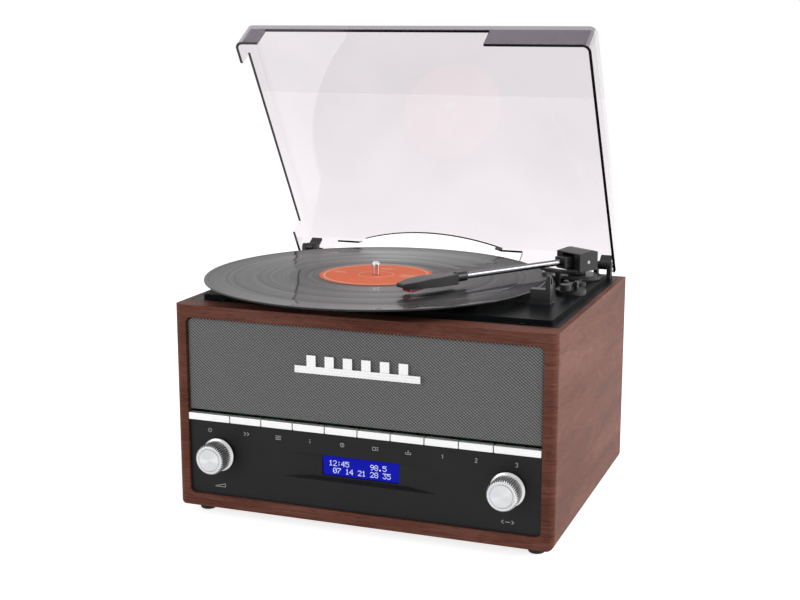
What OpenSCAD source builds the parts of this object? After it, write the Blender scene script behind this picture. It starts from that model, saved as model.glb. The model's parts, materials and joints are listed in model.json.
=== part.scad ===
/* [Cabinet] */
// Width of the wooden cabinet
cabinet_w = 330; // [320:1:360]
// Depth of the wooden cabinet
cabinet_d = 254; // [250:1:280]
// Height of the wooden cabinet without its feet
cabinet_h = 175; // [170:1:200]
// Thickness of the side boards and of the top board
wood_t = 10; // [8:0.5:12]
// Thickness of the front frame, front to back
frame_t = 10.5; // [9:0.5:12]
// Width of the wooden rails and stiles round the front opening
rail_w = 10.5; // [9:0.5:14]
// Corner radius of the front opening
opening_r = 5; // [2:0.5:8]
// Radius of the cabinet's upright front edges and lower front corners
edge_r = 6; // [3:0.5:9]
// Depth of the wooden strip in front of the deck
front_strip = 21; // [16:0.5:23]
// Depth of the wooden strip behind the deck
rear_strip = 8; // [6:0.5:10]
// Width of the wooden strip beside the deck
side_strip = 5; // [3:0.5:6]
// Width of the ledge that the deck's flange lies on
ledge_w = 5; // [4:0.5:6]
// Thickness of the base panel
base_t = 6; // [4:0.5:9]
// Thickness of the rear panel
rear_t = 3; // [2:0.5:4]
// Side of the glued corner blocks that take the rear panel's screws
block_s = 12; // [10:1:14]
// Radius of a rubber foot
foot_r = 7; // [5:0.5:10]
// Height of a rubber foot
foot_h = 8; // [5:0.5:12]
// Distance from a foot's axis to the cabinet's side, and to its front or back
foot_inset = 18; // [12:1:24]

/* [Front] */
// How far the grille and the fascia lie behind the wooden frame's face
recess = 2.5; // [1:0.25:4]
// Thickness of the fascia and of the grille
fascia_t = 3; // [2:0.25:4]
// Height of the grille's lower edge above the cabinet's underside
grille_z = 84.5; // [82:0.5:92]
// Thickness of the speaker baffle board
baffle_t = 6; // [4:0.5:8]
// Height of the keys' lower edge above the cabinet's underside
key_z = 76; // [70:0.5:78]
// Height of a key
key_h = 6; // [4:0.5:7]
// Width of each of the eight middle keys, with its gap
key_pitch = 28.8; // [26:0.2:29.5]
// Gap between neighbouring keys
key_gap = 0.8; // [0.5:0.1:1.2]
// How far a key stands out of the fascia
key_proud = 2.8; // [2:0.1:4]
// Travel of a key
key_travel = 1.5; // [0.8:0.1:1.8]
// Distance of each knob's axis from the middle
knob_x = 127; // [110:1:132]
// Height of the knobs' axes above the cabinet's underside
knob_z = 47; // [40:1:52]
// Radius of a knob
knob_r = 13; // [10:0.5:15]
// Length of a knob
knob_l = 17.5; // [12:0.5:24]
// Push travel of the right-hand knob
knob_push = 1; // [0.4:0.1:1.2]
// Radius of a knob's shaft
shaft_r = 3; // [2:0.25:4]
// Width of the display window
display_w = 68; // [50:1:80]
// Height of the display window
display_h = 17; // [12:0.5:22]
// Height of the display's middle above the cabinet's underside
display_z = 46.8; // [44:0.2:50]
// Width of the sloping recess round the display, at its mouth
scoop_w = 138; // [110:1:150]
// Height of the sloping recess round the display, at its mouth
scoop_h = 24; // [20:0.5:30]
// Depth of the recess round the display
scoop_d = 5; // [3:0.5:7]
// Width of the badge bar on the grille
badge_w = 109; // [60:1:120]
// Height of the badge bar's middle above the cabinet's underside
badge_z = 129; // [115:1:140]
// Height of the badge bar
badge_h = 6; // [3:0.5:8]

/* [Speakers] */
// Distance of each driver's axis from the middle
driver_x = 102; // [80:1:106]
// Radius of a driver's cone opening
driver_r = 30; // [24:1:31]
// Depth of a driver behind the baffle
driver_l = 34; // [26:1:40]

/* [Deck] */
// Thickness of the deck's flange, flush with the wooden top
flange_t = 4; // [3:0.5:5]
// Height of the deck's raised platform above the wooden top
deck_rise = 4; // [2:0.5:6]
// Width of the flange that shows round the platform
flange_show = 7; // [5:0.5:9]
// Radius of the well that the platter turns in
well_r = 91; // [89:0.5:92]
// Depth of the well below the platform
well_depth = 5; // [4:0.25:6]
// Turning clearance round and under the platter
platter_gap = 1; // [0.6:0.1:1.6]
// Thickness of the platter's disc
platter_t = 4; // [3:0.25:6]
// Thickness of the platter's mat
mat_t = 1.7; // [1:0.1:3]
// Radius of the platter's belt rim
belt_rim_r = 70; // [60:1:74]
// Place of the spindle, to the right of the cabinet's middle
spindle_x = -30; // [-34:0.5:-26]
// Place of the spindle, behind the cabinet's middle
spindle_y = -7; // [-8:0.5:-4]
// Radius of the spindle's free end
spindle_r = 3.6; // [3.5:0.05:3.65]
// Height of the spindle's free end above the record
spindle_free = 12; // [8:0.5:14]
// Radius of the spindle in its bearing
journal_r = 3; // [2.5:0.1:3.4]
// Length of the spindle bearing
bearing_l = 24; // [16:1:30]
// Radius of the long-playing record
record_r = 150.5; // [149:0.5:151]
// Thickness of the record
record_t = 1.8; // [1.2:0.1:2.4]
// Radius of the record's paper label
label_r = 50; // [40:1:52]
// Radius of the drive motor
motor_r = 16; // [12:1:18]
// Radius of the motor's pulley
pulley_r = 5; // [4:0.25:6]
// Distance from the spindle to the motor's shaft
motor_reach = 79; // [78:0.5:80]
// Direction of the motor, seen from the spindle
motor_turn = 135; // [110:5:160]

/* [Tonearm] */
// Place of the tonearm's upright axis, to the right of the cabinet's middle
arm_x = 129; // [127:0.5:131]
// Place of the tonearm's upright axis, behind the cabinet's middle
arm_y = 84; // [80:0.5:86]
// Height of the arm tube's axis above the wooden top
arm_rise = 20.5; // [19:0.25:22]
// Length from the tonearm's axis to the headshell's tip
arm_l = 199; // [190:1:202]
// Radius of the arm tube
tube_r = 2.8; // [2:0.1:3.2]
// Angle from the arm's parked line to the place where it is drawn
play_angle = 33; // [20:0.5:40]
// Radius of the disc under the tonearm
arm_disc_r = 22; // [20:0.5:24]
// Thickness of the disc under the tonearm
arm_disc_t = 4; // [3:0.25:5]
// Width of the yoke that carries the arm
yoke_w = 30; // [26:1:34]
// Length of the yoke along the arm
yoke_l = 22; // [18:1:26]
// Width of the slot in the yoke
slot_w = 15; // [14:0.5:18]
// Length of the headshell
shell_l = 58; // [50:1:62]
// Width of the headshell
shell_w = 18; // [14:0.5:20]
// Height of the arm rest's outer prong above the wooden top
rest_h = 26; // [24:0.5:27]
// Distance from the tonearm's axis to the arm rest
rest_reach = 126; // [118:1:132]

/* [Dust cover] */
// Opening angle at which the dust cover is drawn
cover_angle = 58; // [40:1:75]
// Height of the closed cover's top above the wooden top
cover_h = 36; // [35:0.5:45]
// Wall thickness of the cover
cover_t = 2.5; // [2:0.25:3.5]
// Depth of the cover's full walls
cover_wall = 28; // [25:0.5:32]
// Depth of the cover's walls where the record passes under them
cover_low = 11; // [8:0.5:16]
// Distance from the cover's outer side to the cabinet's outer side
cover_inset = 6; // [5:0.5:8]
// Distance from the hinge pins' axis to the cabinet's back
pin_inset = 14; // [13:0.5:16]
// Height of the hinge pins' axis above the wooden top
pin_rise = 12; // [11:0.5:14]
// Radius of the hinge pins
pin_r = 2; // [1.5:0.1:2.5]
// Width of a hinge's foot
hinge_w = 16; // [12:1:20]

/* [Rear sockets] */
// Bore radius of the line-in jack
jack_r = 1.8; // [1.7:0.05:1.9]
// Depth of the line-in jack's bore
jack_l = 14; // [12:0.5:15]
// Outer radius of the aerial socket's barrel
aerial_r = 4.7; // [4:0.1:5]
// How far the aerial socket stands out of the rear panel
aerial_l = 9; // [7:0.5:12]

/* [Fits] */
// Radial clearance of a running fit
running = 0.05; // [0.02:0.01:0.1]
// Clearance between a moving piece and its opening
clear = 0.4; // [0.3:0.05:0.6]
// Gap round a fixed piece that drops into its place
seat_gap = 0.3; // [0.2:0.05:0.4]

/* [Hidden] */
$fn = 48;
eps = 0.02;

// Colours of the materials
wood = "#7a4f42";
black = "#26282a";
dark = "#3a3c3e";
silver = "#c9cacb";
grey = "#6a6a6a";

// Heights of the cabinet
z_base = foot_h;
z_top = foot_h + cabinet_h;
front_y = -cabinet_d/2;
back_y = cabinet_d/2;
inner_w = cabinet_w - 2*wood_t;
cavity_front = front_y + frame_t;
panel_front = back_y - rear_t;
opening_w = cabinet_w - 2*rail_w;
opening_h = cabinet_h - 2*rail_w;
opening_z = z_base + cabinet_h/2;
opening_low = z_base + rail_w;
opening_high = z_top - rail_w;

// Faces of the front, from front to back
face_y = front_y + recess;
fascia_back = face_y + fascia_t;
board_y = cavity_front + baffle_t;
board_t = 1.6;

// The deck's outline and levels
deck_w = cabinet_w - 2*side_strip;
deck_front = front_y + front_strip;
deck_back = back_y - rear_strip;
deck_d = deck_back - deck_front;
deck_low = z_top - flange_t;
deck_z = z_top + deck_rise;
platform_back = back_y - pin_inset - hinge_w/2;
platform_front = deck_front + flange_show;
platform_w = deck_w - 2*flange_show;
well_z = deck_z - well_depth;
boss_r = 9;
boss_low = deck_low - bearing_l - 3;

// The platter's stack
platter_z = deck_z + platter_gap;
mat_z = platter_z + platter_t;
record_z = mat_z + mat_t;
record_top = record_z + record_t;
label_t = 0.2;
platter_r = well_r - 3*platter_gap;
rim_t = 3;
hub_r = 12;
skirt_z = well_z + platter_gap;
bearing_r = 6;
belt_t = 1;
belt_gap = 0.3;
belt_h = 3;
motor_l = 20;
motor_x = spindle_x + motor_reach*cos(motor_turn);
motor_y = spindle_y + motor_reach*sin(motor_turn);
motor_shaft_r = 1;
motor_seat = 4;

// The spindle's free end starts above the label; below it the spindle is thinner
waist_r = spindle_r - 0.6;
free_z = record_top + label_t + 0.2;
taper_h = 2;
taper_r = spindle_r - 1.5;
taper_z = record_top + spindle_free - taper_h;

// The tonearm, drawn along -Y from its axis and then turned
arm_z = z_top + arm_rise;
disc_top = deck_z + arm_disc_t;
yoke_low = z_top + 12.5;
yoke_side = z_top + 28.5;
yoke_top = z_top + 30.5;
yoke_slot_low = yoke_low + 2;
yoke_slot_high = z_top + 27.3;
yoke_back_t = 3;
yoke_post_r = 8;
column_r = 5;
column_low = deck_low - 20;
pivot_r = 1.5;
block_w = slot_w - 2;
block_h = 9;
block_back = 4;
block_l = 21;
collar_l = 11;
collar_r = 4.2;
shell_back = arm_l - shell_l;
shell_low = z_top + 15;
shell_tip_low = z_top + 17;
shell_high = z_top + 24;
shell_tip_high = z_top + 21.5;
shell_wall = 1.6;
shell_roof = shell_tip_high - 2.5;
stylus_back = 10;
cartridge_w = 10;
cartridge_l = 21;
cartridge_tip = 6.5;
lift_r = 34;
lift_w = 6;
lift_gap = 1;
lift_rod_r = 2.5;
lift_t = 3;
lift_low = arm_z - tube_r - lift_gap - lift_t;
// The lift rod stands midway between the parked and the inner position
lift_turn = 16;
lift_span = 30;

// The arm rest stands on the parked line of the arm
rest_x = arm_x;
rest_y = arm_y - rest_reach;
rest_w = 17;
rest_t = 8;
notch_z = arm_z - tube_r - 0.4;
prong_w = 4;
clip_pin_r = 1;

// The cue lever, in front of the tonearm
cue_x = 141;
cue_y = 12;
cue_r = 14;
cue_z = deck_z + 8;
cue_lever_l = 20;
cue_pin_r = 1.5;
cue_ear_x = 3;
cue_ear_t = 3;
speed_y = 42;
speed_r = 6;
speed_shaft_r = 2;

// The dust cover, drawn closed and turned open about its pins
pin_y = back_y - pin_inset;
pin_z = z_top + pin_rise;
cover_w = cabinet_w - 2*cover_inset;
cover_back = pin_y + 7.5;
cover_d = cover_back - front_y;
cover_top = z_top + cover_h;
cover_rim = cover_top - cover_wall;
cover_low_z = cover_top - cover_low;
cover_lip = 5;
corner_wall = 22;
rear_notch = 190;
rear_lip = 6;
arc_in = 14.5;
arc_r = 195;
cover_r = 7;
hinge_x = cover_w/2 - cover_t - hinge_w/2 - 2;
leaf_t = 2.5;
knuckle_r = 4;
leaf_z = pin_z + knuckle_r + 2;
leaf_high = pin_z + 17;
hinge_foot_t = 3;

// The part's origin is the middle of its outer box, at the floor
corner_r = norm([cover_back - pin_y, cover_top - pin_z]);
corner_a = atan2(cover_top - pin_z, cover_back - pin_y);
origin_x = (spindle_x - record_r + cabinet_w/2)/2;
box_back = max(spindle_y + record_r, pin_y + corner_r*cos(corner_a - cover_angle));
origin_y = (spindle_y - record_r + box_back)/2;

module placed() translate([-origin_x, -origin_y, 0]) children();

// A rectangle with round corners, as exact arcs
module round_rect(w, h, r) {
    square([w - 2*r, h], center = true);
    square([w, h - 2*r], center = true);
    for (x = [-1, 1], y = [-1, 1]) translate([x*(w/2 - r), y*(h/2 - r)]) circle(r);
}

// Stands a flat shape upright, its outline in X and Z, from y_back forwards by t
module upright(y_back, t) translate([0, y_back, 0]) rotate([90, 0, 0]) linear_extrude(t) children();

// A round bar along Y, from y0 to y1
module bar_y(r, y0, y1) translate([0, y0, 0]) rotate([-90, 0, 0]) cylinder(r = r, h = y1 - y0);

// A round bar along X, from x0 to x1
module bar_x(r, x0, x1) translate([x0, 0, 0]) rotate([0, 90, 0]) cylinder(r = r, h = x1 - x0);

// A box between two corners
module block(low, high) translate(low) cube(high - low);

module cabinet_shell() color(wood) placed() difference() {
    union() {
        difference() {
            intersection() {
                translate([0, 0, z_base]) linear_extrude(cabinet_h) cabinet_plan();
                upright(back_y + eps, cabinet_d + 2*eps) cabinet_front();
            }
            block([-inner_w/2, cavity_front, z_base - eps], [inner_w/2, back_y + eps, z_top - wood_t]);
            upright(cavity_front + eps, frame_t + 2*eps) translate([0, opening_z])
                round_rect(opening_w, opening_h, opening_r);
        }
        for (x = [-1, 1], z = [z_base + base_t, z_top - wood_t - block_s])
            translate([x*(inner_w - block_s)/2, panel_front - block_s/2, z + block_s/2])
                cube(block_s, center = true);
    }
    block([-deck_w/2 + ledge_w, deck_front + ledge_w, z_top - wood_t - eps],
        [deck_w/2 - ledge_w, deck_back - ledge_w, z_top + eps]);
    block([-deck_w/2, deck_front, deck_low], [deck_w/2, deck_back, z_top + eps]);
    rear_screw_places() bar_y(screw_r, panel_front - screw_l, panel_front + eps);
}

module cabinet_plan() {
    translate([0, cabinet_d/8]) square([cabinet_w, cabinet_d*3/4], center = true);
    round_rect(cabinet_w, cabinet_d, edge_r);
}

module cabinet_front() {
    translate([0, opening_z + cabinet_h/8]) square([cabinet_w, cabinet_h*3/4], center = true);
    translate([0, opening_z]) round_rect(cabinet_w, cabinet_h, edge_r);
}

// Screws of the rear panel, in its corner blocks
screw_r = 1.5;
screw_l = 8;
screw_head_r = 3;
screw_head_t = 1.6;

module rear_screw_places()
    for (x = [-1, 1], z = [z_base + base_t + block_s/2, z_top - wood_t - block_s/2])
        translate([x*(inner_w - block_s)/2, 0, z]) children();

module foot_places()
    for (x = [-1, 1], y = [-1, 1])
        translate([x*(cabinet_w/2 - foot_inset), y*(cabinet_d/2 - foot_inset), 0]) children();

// Air slits in the base panel, under the power supply and the main board
slit_pitch = 14;
slit_w = 5;
slit_l = 60;
slit_y = 20;

module base_panel() color(black) placed() difference() {
    block([-inner_w/2, cavity_front, z_base], [inner_w/2, panel_front, z_base + base_t]);
    foot_places() translate([0, 0, z_base - eps]) cylinder(r = screw_r, h = base_t + 2*eps);
    for (i = [-4:4]) translate([i*slit_pitch, slit_y, z_base + base_t/2])
        cube([slit_w, slit_l, base_t*2], center = true);
}

module feet() color(black) placed() foot_places() rotate_extrude() difference() {
    polygon([[0, 0], [foot_r - 1, 0], [foot_r, 1], [foot_r, foot_h], [0, foot_h]]);
    square([screw_head_r + clear, screw_head_t + 1]);
    square([screw_r, foot_h + eps]);
}

module case_screws() color(grey) placed() {
    rear_screw_places() {
        bar_y(screw_r, panel_front - screw_l, back_y);
        bar_y(screw_head_r, back_y, back_y + screw_head_t);
    }
    foot_places() {
        translate([0, 0, 1 + screw_head_t]) cylinder(r = screw_r, h = z_base + base_t - 1 - screw_head_t);
        translate([0, 0, 1]) cylinder(r = screw_head_r, h = screw_head_t);
    }
    deck_screw_places() {
        translate([0, 0, deck_low]) cylinder(r = screw_r, h = flange_t);
        translate([0, 0, z_top]) cylinder(r = deck_head_r, h = deck_head_t);
    }
}

// Places of the sockets on the rear panel
socket_z = z_base + 60;
jack_x = -100;
aerial_x = -60;
phono_x = [-130, -116];
inlet_x = 110;
inlet_w = 28;
inlet_h = 20;
socket_r = 5;
socket_l = 16;

// Air vents in the rear panel
vent_n = 8;
vent_z = z_base + 100;
vent_pitch = 6;
vent_w = 90;
vent_h = 2.4;

module rear_panel() color(black) placed() difference() {
    upright(back_y, rear_t) translate([0, (z_base + z_top - wood_t)/2])
        square([inner_w, cabinet_h - wood_t], center = true);
    rear_screw_places() bar_y(screw_r, panel_front - eps, back_y + eps);
    translate([0, 0, socket_z]) {
        for (x = concat(phono_x, [jack_x, aerial_x])) translate([x, 0, 0])
            bar_y(socket_r, panel_front - eps, back_y + eps);
        translate([inlet_x, back_y, 0]) cube([inlet_w, 4*rear_t, inlet_h], center = true);
    }
    for (i = [0:vent_n - 1]) translate([0, back_y, vent_z + i*vent_pitch])
        cube([vent_w, 4*rear_t, vent_h], center = true);
}

module rear_sockets() color(dark) placed() translate([0, 0, socket_z]) {
    for (x = phono_x) translate([x, 0, 0]) difference() {
        bar_y(socket_r, back_y - socket_l, back_y + 6);
        bar_y(socket_r - 1.5, back_y - 4, back_y + 6 + eps);
    }
    translate([jack_x, 0, 0]) difference() {
        bar_y(socket_r, back_y - socket_l, back_y + 1);
        bar_y(jack_r, back_y + 1 - jack_l, back_y + 1 + eps);
    }
    translate([aerial_x, 0, 0]) {
        bar_y(socket_r, back_y - socket_l, back_y);
        bar_y(aerial_r, back_y, back_y + aerial_l);
    }
    translate([inlet_x, 0, 0]) difference() {
        block([-inlet_w/2, back_y - socket_l, -inlet_h/2], [inlet_w/2, back_y + 1, inlet_h/2]);
        block([-inlet_w/2 + 2, back_y - 12, -inlet_h/2 + 2], [inlet_w/2 - 2, back_y + 2, inlet_h/2 - 2]);
    }
    // A board carries the sockets and stands on the base panel
    block([phono_x[0] - 10, back_y - socket_l - board_t, z_base + base_t - socket_z],
        [aerial_x + 10, back_y - socket_l, 10]);
    block([inlet_x - inlet_w/2, back_y - socket_l - board_t, z_base + base_t - socket_z],
        [inlet_x + inlet_w/2, back_y - socket_l, inlet_h/2]);
}

// Keys run from one side of the opening to the other
end_key_w = (opening_w - 2*seat_gap - 8*key_pitch)/2;
function key_left(i) = i == 0 ? -opening_w/2 + seat_gap
    : -4*key_pitch + (i - 1)*key_pitch;
function key_width(i) = (i == 0 || i == 9) ? end_key_w : key_pitch;
function key_mid(i) = key_left(i) + key_width(i)/2;
key_low = z_base + key_z;
key_stem_w = 8;
key_stem_h = 3;
key_front = face_y - key_proud;
switch_front = board_y - 4;

module key(i) color(silver) placed() {
    block([key_left(i) + key_gap/2, key_front, key_low],
        [key_left(i) + key_width(i) - key_gap/2, fascia_back, key_low + key_h]);
    block([key_mid(i) - key_stem_w/2, fascia_back - eps, key_low + (key_h - key_stem_h)/2],
        [key_mid(i) + key_stem_w/2, switch_front - key_travel - 0.2, key_low + (key_h + key_stem_h)/2]);
}

module key_switches() color(dark) placed() for (i = [0:9])
    block([key_mid(i) - 3, switch_front, key_low + key_h/2 - 3],
        [key_mid(i) + 3, board_y, key_low + key_h/2 + 3]);

module front_baffle() color(dark) placed() difference() {
    block([-inner_w/2, cavity_front, z_base + base_t], [inner_w/2, board_y, z_top - wood_t]);
    for (x = [-1, 1]) translate([x*driver_x, 0, driver_z])
        bar_y(driver_r + 2, cavity_front - eps, board_y + eps);
    block([-opening_w/2, cavity_front - eps, opening_low],
        [opening_w/2, board_y + eps, z_base + grille_z - 1]);
}

driver_z = z_base + (grille_z + cabinet_h - rail_w)/2;
driver_flange_t = 3;
magnet_r = 20;
cone_t = 1;

module driver(side) color(grey) placed() translate([side*driver_x, 0, driver_z]) difference() {
    union() {
        bar_y(driver_r + 6, board_y, board_y + driver_flange_t);
        translate([0, board_y + driver_flange_t, 0]) rotate([-90, 0, 0])
            cylinder(r1 = driver_r + 2, r2 = magnet_r - 4, h = 16);
        bar_y(magnet_r, board_y + 18, board_y + driver_l);
    }
    translate([0, board_y - eps, 0]) rotate([-90, 0, 0])
        cylinder(r1 = driver_r, r2 = magnet_r - 8, h = 16);
}

// The cone and its dust cap, 0.3 mm inside the frame's own cone
module driver_cones() color(black) placed() for (side = [-1, 1])
    translate([side*driver_x, board_y, driver_z]) rotate([-90, 0, 0]) rotate_extrude()
        polygon([[0, 14], [magnet_r - 8, 14.6], [driver_r - 1.3, 0.6], [driver_r - 2.8, 0.6],
            [magnet_r - 8 - cone_t, 12.4], [0, 11]]);

module speaker_grille() color(grey) placed() difference() {
    upright(fascia_back, fascia_t) intersection() {
        translate([0, opening_z]) round_rect(opening_w - 2*seat_gap, opening_h - 2*seat_gap, opening_r);
        translate([-opening_w/2, z_base + grille_z]) square([opening_w, opening_high - z_base - grille_z]);
    }
    translate([0, 0, z_base + badge_z]) badge_pegs() bar_y(peg_r, face_y - eps, fascia_back + eps);
}

// The fascia, with its recess and the lugs that meet the control board
module fascia() color(black) placed() difference() {
    union() {
        upright(fascia_back, fascia_t) intersection() {
            translate([0, opening_z]) round_rect(opening_w - 2*seat_gap, opening_h - 2*seat_gap, opening_r);
            translate([-opening_w/2, opening_low]) square([opening_w, key_low - clear - opening_low]);
        }
        // The recess's tray and the lugs that meet the control board
        block([-scoop_w/2 + tray_inset, fascia_back - eps, z_base + display_z - display_h/2 - 3],
            [scoop_w/2 - tray_inset, face_y + scoop_d + 2, z_base + display_z + display_h/2 + 3]);
        for (x = [-1, 1], z = [opening_low + 6, key_low - 8]) translate([x*(opening_w/2 - 8), 0, z])
            bar_y(3, fascia_back - eps, board_y);
        for (x = [-1, 1]) translate([x*(display_w/2 + 24), 0, opening_low + 6])
            bar_y(3, fascia_back - eps, board_y);
    }
    scoop();
    upright(face_y + scoop_d + 3, scoop_d + 3 + eps) translate([0, z_base + display_z])
        round_rect(display_w, display_h, 1);
    for (x = [-1, 1]) translate([x*knob_x, 0, z_base + knob_z])
        bar_y(shaft_r + clear + 1, face_y - eps, fascia_back + eps);
}

// How far the tray's ends stay inside the recess's mouth
tray_inset = 10;

// The sloping recess: a wedge that deepens from its lower edge, with sloping ends
module scoop() intersection() {
    translate([0, 0, z_base + display_z]) rotate([90, 0, 90])
        translate([0, 0, -scoop_w/2]) linear_extrude(scoop_w)
            polygon([[face_y - eps, -scoop_h/2], [face_y + scoop_d - 1, -display_h/2 - 1],
                [face_y + scoop_d, display_h/2 + 1], [face_y - eps, display_h/2 + 2]]);
    translate([0, 0, z_base + display_z - scoop_h]) linear_extrude(2*scoop_h)
        polygon([[-scoop_w/2, face_y - eps], [-display_w/2 - 1, face_y + scoop_d + eps],
            [display_w/2 + 1, face_y + scoop_d + eps], [scoop_w/2, face_y - eps]]);
}

module display_window() color("#1018a0") placed()
    upright(face_y + scoop_d + 2, 1.6) translate([0, z_base + display_z])
        square([display_w - 2*seat_gap, display_h - 2*seat_gap], center = true);

module display_module() color("#1d5b34") placed() {
    block([-display_w/2 - 6, face_y + scoop_d + 2, z_base + display_z - display_h/2 - 5],
        [display_w/2 + 6, board_y - 1, z_base + display_z + display_h/2 + 5]);
    for (x = [-1, 1]) translate([x*(display_w/2 + 3), 0, z_base + display_z])
        bar_y(1.5, board_y - 1 - eps, board_y);
}

module control_board() color("#1d5b34") placed() difference() {
    block([-opening_w/2 + 4, board_y, opening_low + 1],
        [opening_w/2 - 4, board_y + board_t, key_low + key_h]);
    for (x = [-1, 1]) translate([x*knob_x, 0, z_base + knob_z])
        bar_y(shaft_r + 1, board_y - eps, board_y + board_t + eps);
}

badge_t = 3;
peg_r = 1.2;
module badge_pegs() for (x = [-1, 1]) translate([x*badge_w*0.4, 0, 0]) children();

// A plain ribbed bar with a row of plain blocks standing on it
module badge_bar() color(silver) placed() translate([0, 0, z_base + badge_z]) {
    difference() {
        block([-badge_w/2, face_y - badge_t, -badge_h/2], [badge_w/2, face_y, badge_h/2]);
        for (z = [-1, 1]) translate([0, face_y - badge_t, z*badge_h/5])
            cube([badge_w + 1, 0.8, badge_h/8], center = true);
    }
    badge_pegs() bar_y(peg_r, face_y - eps, fascia_back);
    for (i = [-2.5:1:2.5])
        block([i*16 - 4, face_y - badge_t + 0.8, badge_h/2 - eps], [i*16 + 4, face_y, badge_h/2 + 9]);
}

// Encoder bodies on the control board; their shafts come forward through the fascia
encoder_s = 12;
encoder_l = 6;
knob_back = face_y - clear - knob_push;
knob_front = knob_back - knob_l;
bore_l = knob_l - 4;

module encoder(side) color(dark) placed() translate([side*knob_x, 0, z_base + knob_z]) difference() {
    block([-encoder_s/2, board_y - encoder_l, -encoder_s/2], [encoder_s/2, board_y, encoder_s/2]);
    bar_y(shaft_r + running, board_y - encoder_l - eps, board_y + eps);
}

// A knob: fluted rim, grooved face and a blind bore for the shaft
module knob_body(bore) translate([0, knob_back, 0]) rotate([90, 0, 0]) difference() {
    union() {
        rotate_extrude($fn = 96) polygon([[0, 0], [knob_r + 1.4, 0], [knob_r + 1.4, 1.6], [knob_r, 2.4],
            [knob_r, knob_l - 1], [knob_r - 1, knob_l], [knob_r - 3.2, knob_l],
            [knob_r - 3.6, knob_l - 0.6], [knob_r - 4, knob_l], [0, knob_l]]);
    }
    translate([0, 0, -eps]) cylinder(r = bore, h = bore_l);
    for (a = [0:15:345]) rotate([0, 0, a]) translate([knob_r + 0.35, 0, 3.4])
        cylinder(r = 0.8, h = knob_l, $fn = 4);
}

module volume_knob() color(silver) placed() translate([-knob_x, 0, z_base + knob_z]) {
    knob_body(shaft_r);
    bar_y(shaft_r, knob_back - bore_l + eps, board_y - 0.5);
}

module tune_shaft() color(grey) placed() translate([knob_x, 0, z_base + knob_z])
    bar_y(shaft_r, knob_back - bore_l + 0.3, board_y + board_t - knob_push);

module tune_knob() color(silver) placed() translate([knob_x, 0, z_base + knob_z])
    knob_body(shaft_r + running);

// The main board on its four posts, with a heat sink and four capacitors
main_w = 120;
main_d = 96;
main_x = -70;
main_y = 40;
post_h = 6;
post_r = 3;
main_z = z_base + base_t + post_h;
sink_w = 90;
sink_t = 12;
sink_h = 28;
can_r = 6;
can_h = 20;
can_pitch = 22;

module main_board() color("#1d5b34") placed() translate([main_x, main_y, 0]) {
    for (x = [-1, 1], y = [-1, 1])
        translate([x*(main_w/2 - 10), y*(main_d/2 - 10), z_base + base_t])
            cylinder(r = post_r, h = post_h + eps);
    block([-main_w/2, -main_d/2, main_z], [main_w/2, main_d/2, main_z + board_t]);
    block([-sink_w/2, main_d/4 - sink_t/2, main_z], [sink_w/2, main_d/4 + sink_t/2, main_z + sink_h]);
    for (i = [-1.5:1.5]) translate([i*can_pitch, -main_d/4, main_z]) cylinder(r = can_r, h = can_h);
}

// The mains transformer: a foot, the winding and the iron core round it
supply_x = 63;
supply_y = 12;
supply_w = 66;
supply_d = 64;
supply_foot = 4;
winding_w = 50;
winding_d = 44;
winding_h = 40;
core_w = 30;
core_h = 32;

module power_supply() color("#c8a24a") placed() translate([supply_x, supply_y, z_base + base_t]) {
    block([-supply_w/2, -supply_d/2, 0], [supply_w/2, supply_d/2, supply_foot]);
    block([-winding_w/2, -winding_d/2, supply_foot - eps],
        [winding_w/2, winding_d/2, supply_foot + winding_h]);
    block([-core_w/2, -supply_d/2, supply_foot - eps], [core_w/2, supply_d/2, supply_foot + core_h]);
}

// Screws of the deck, through the flange where it lies on its ledge
deck_screw_x = deck_w/2 - 30;
deck_screw_y = 3.5;
deck_head_r = 2.4;
deck_head_t = 1.2;
module deck_screw_places() for (x = [-1, 1], y = [deck_front + deck_screw_y, deck_back - deck_screw_y])
    translate([x*deck_screw_x, y, 0]) children();

module deck_plate() color(black) placed() difference() {
    union() {
        block([-deck_w/2 + seat_gap, deck_front + seat_gap, deck_low],
            [deck_w/2 - seat_gap, deck_back - seat_gap, z_top]);
        translate([0, (platform_front + platform_back)/2, z_top - eps]) linear_extrude(deck_rise + eps)
            round_rect(platform_w, platform_back - platform_front, 4);
        translate([spindle_x, spindle_y, boss_low]) cylinder(r = boss_r, h = deck_low - boss_low + eps);
        translate([arm_x, arm_y, column_low]) cylinder(r = boss_r, h = deck_low - column_low + eps);
        translate(lift_place()) translate([0, 0, deck_low - 8]) cylinder(r = 5, h = 8 + eps);
    }
    translate([spindle_x, spindle_y, well_z]) cylinder(r = well_r, h = well_depth + eps, $fn = 96);
    translate([spindle_x, spindle_y, deck_low - bearing_l]) cylinder(r = bearing_r, h = bearing_l + 10);
    translate([motor_x, motor_y, deck_low - eps]) cylinder(r = pulley_r + 2, h = 20);
    translate([arm_x, arm_y, column_low - eps]) cylinder(r = column_r + running, h = 60);
    translate(lift_place()) translate([0, 0, deck_low - 8 - eps]) cylinder(r = lift_rod_r + running, h = 40);
    translate([cue_x, speed_y, deck_low - 2*eps]) cylinder(r = speed_shaft_r + running, h = 40);
    deck_screw_places() translate([0, 0, deck_low - eps]) cylinder(r = screw_r, h = flange_t + 2*eps);
}

function lift_place() = [arm_x - lift_r*sin(lift_turn), arm_y - lift_r*cos(lift_turn), 0];

module spindle_bearing() color("#b59a4c") placed() translate([spindle_x, spindle_y, deck_low - bearing_l])
    difference() {
        cylinder(r = bearing_r, h = bearing_l);
        translate([0, 0, -eps]) cylinder(r = journal_r + running, h = bearing_l + 2*eps);
    }

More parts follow.
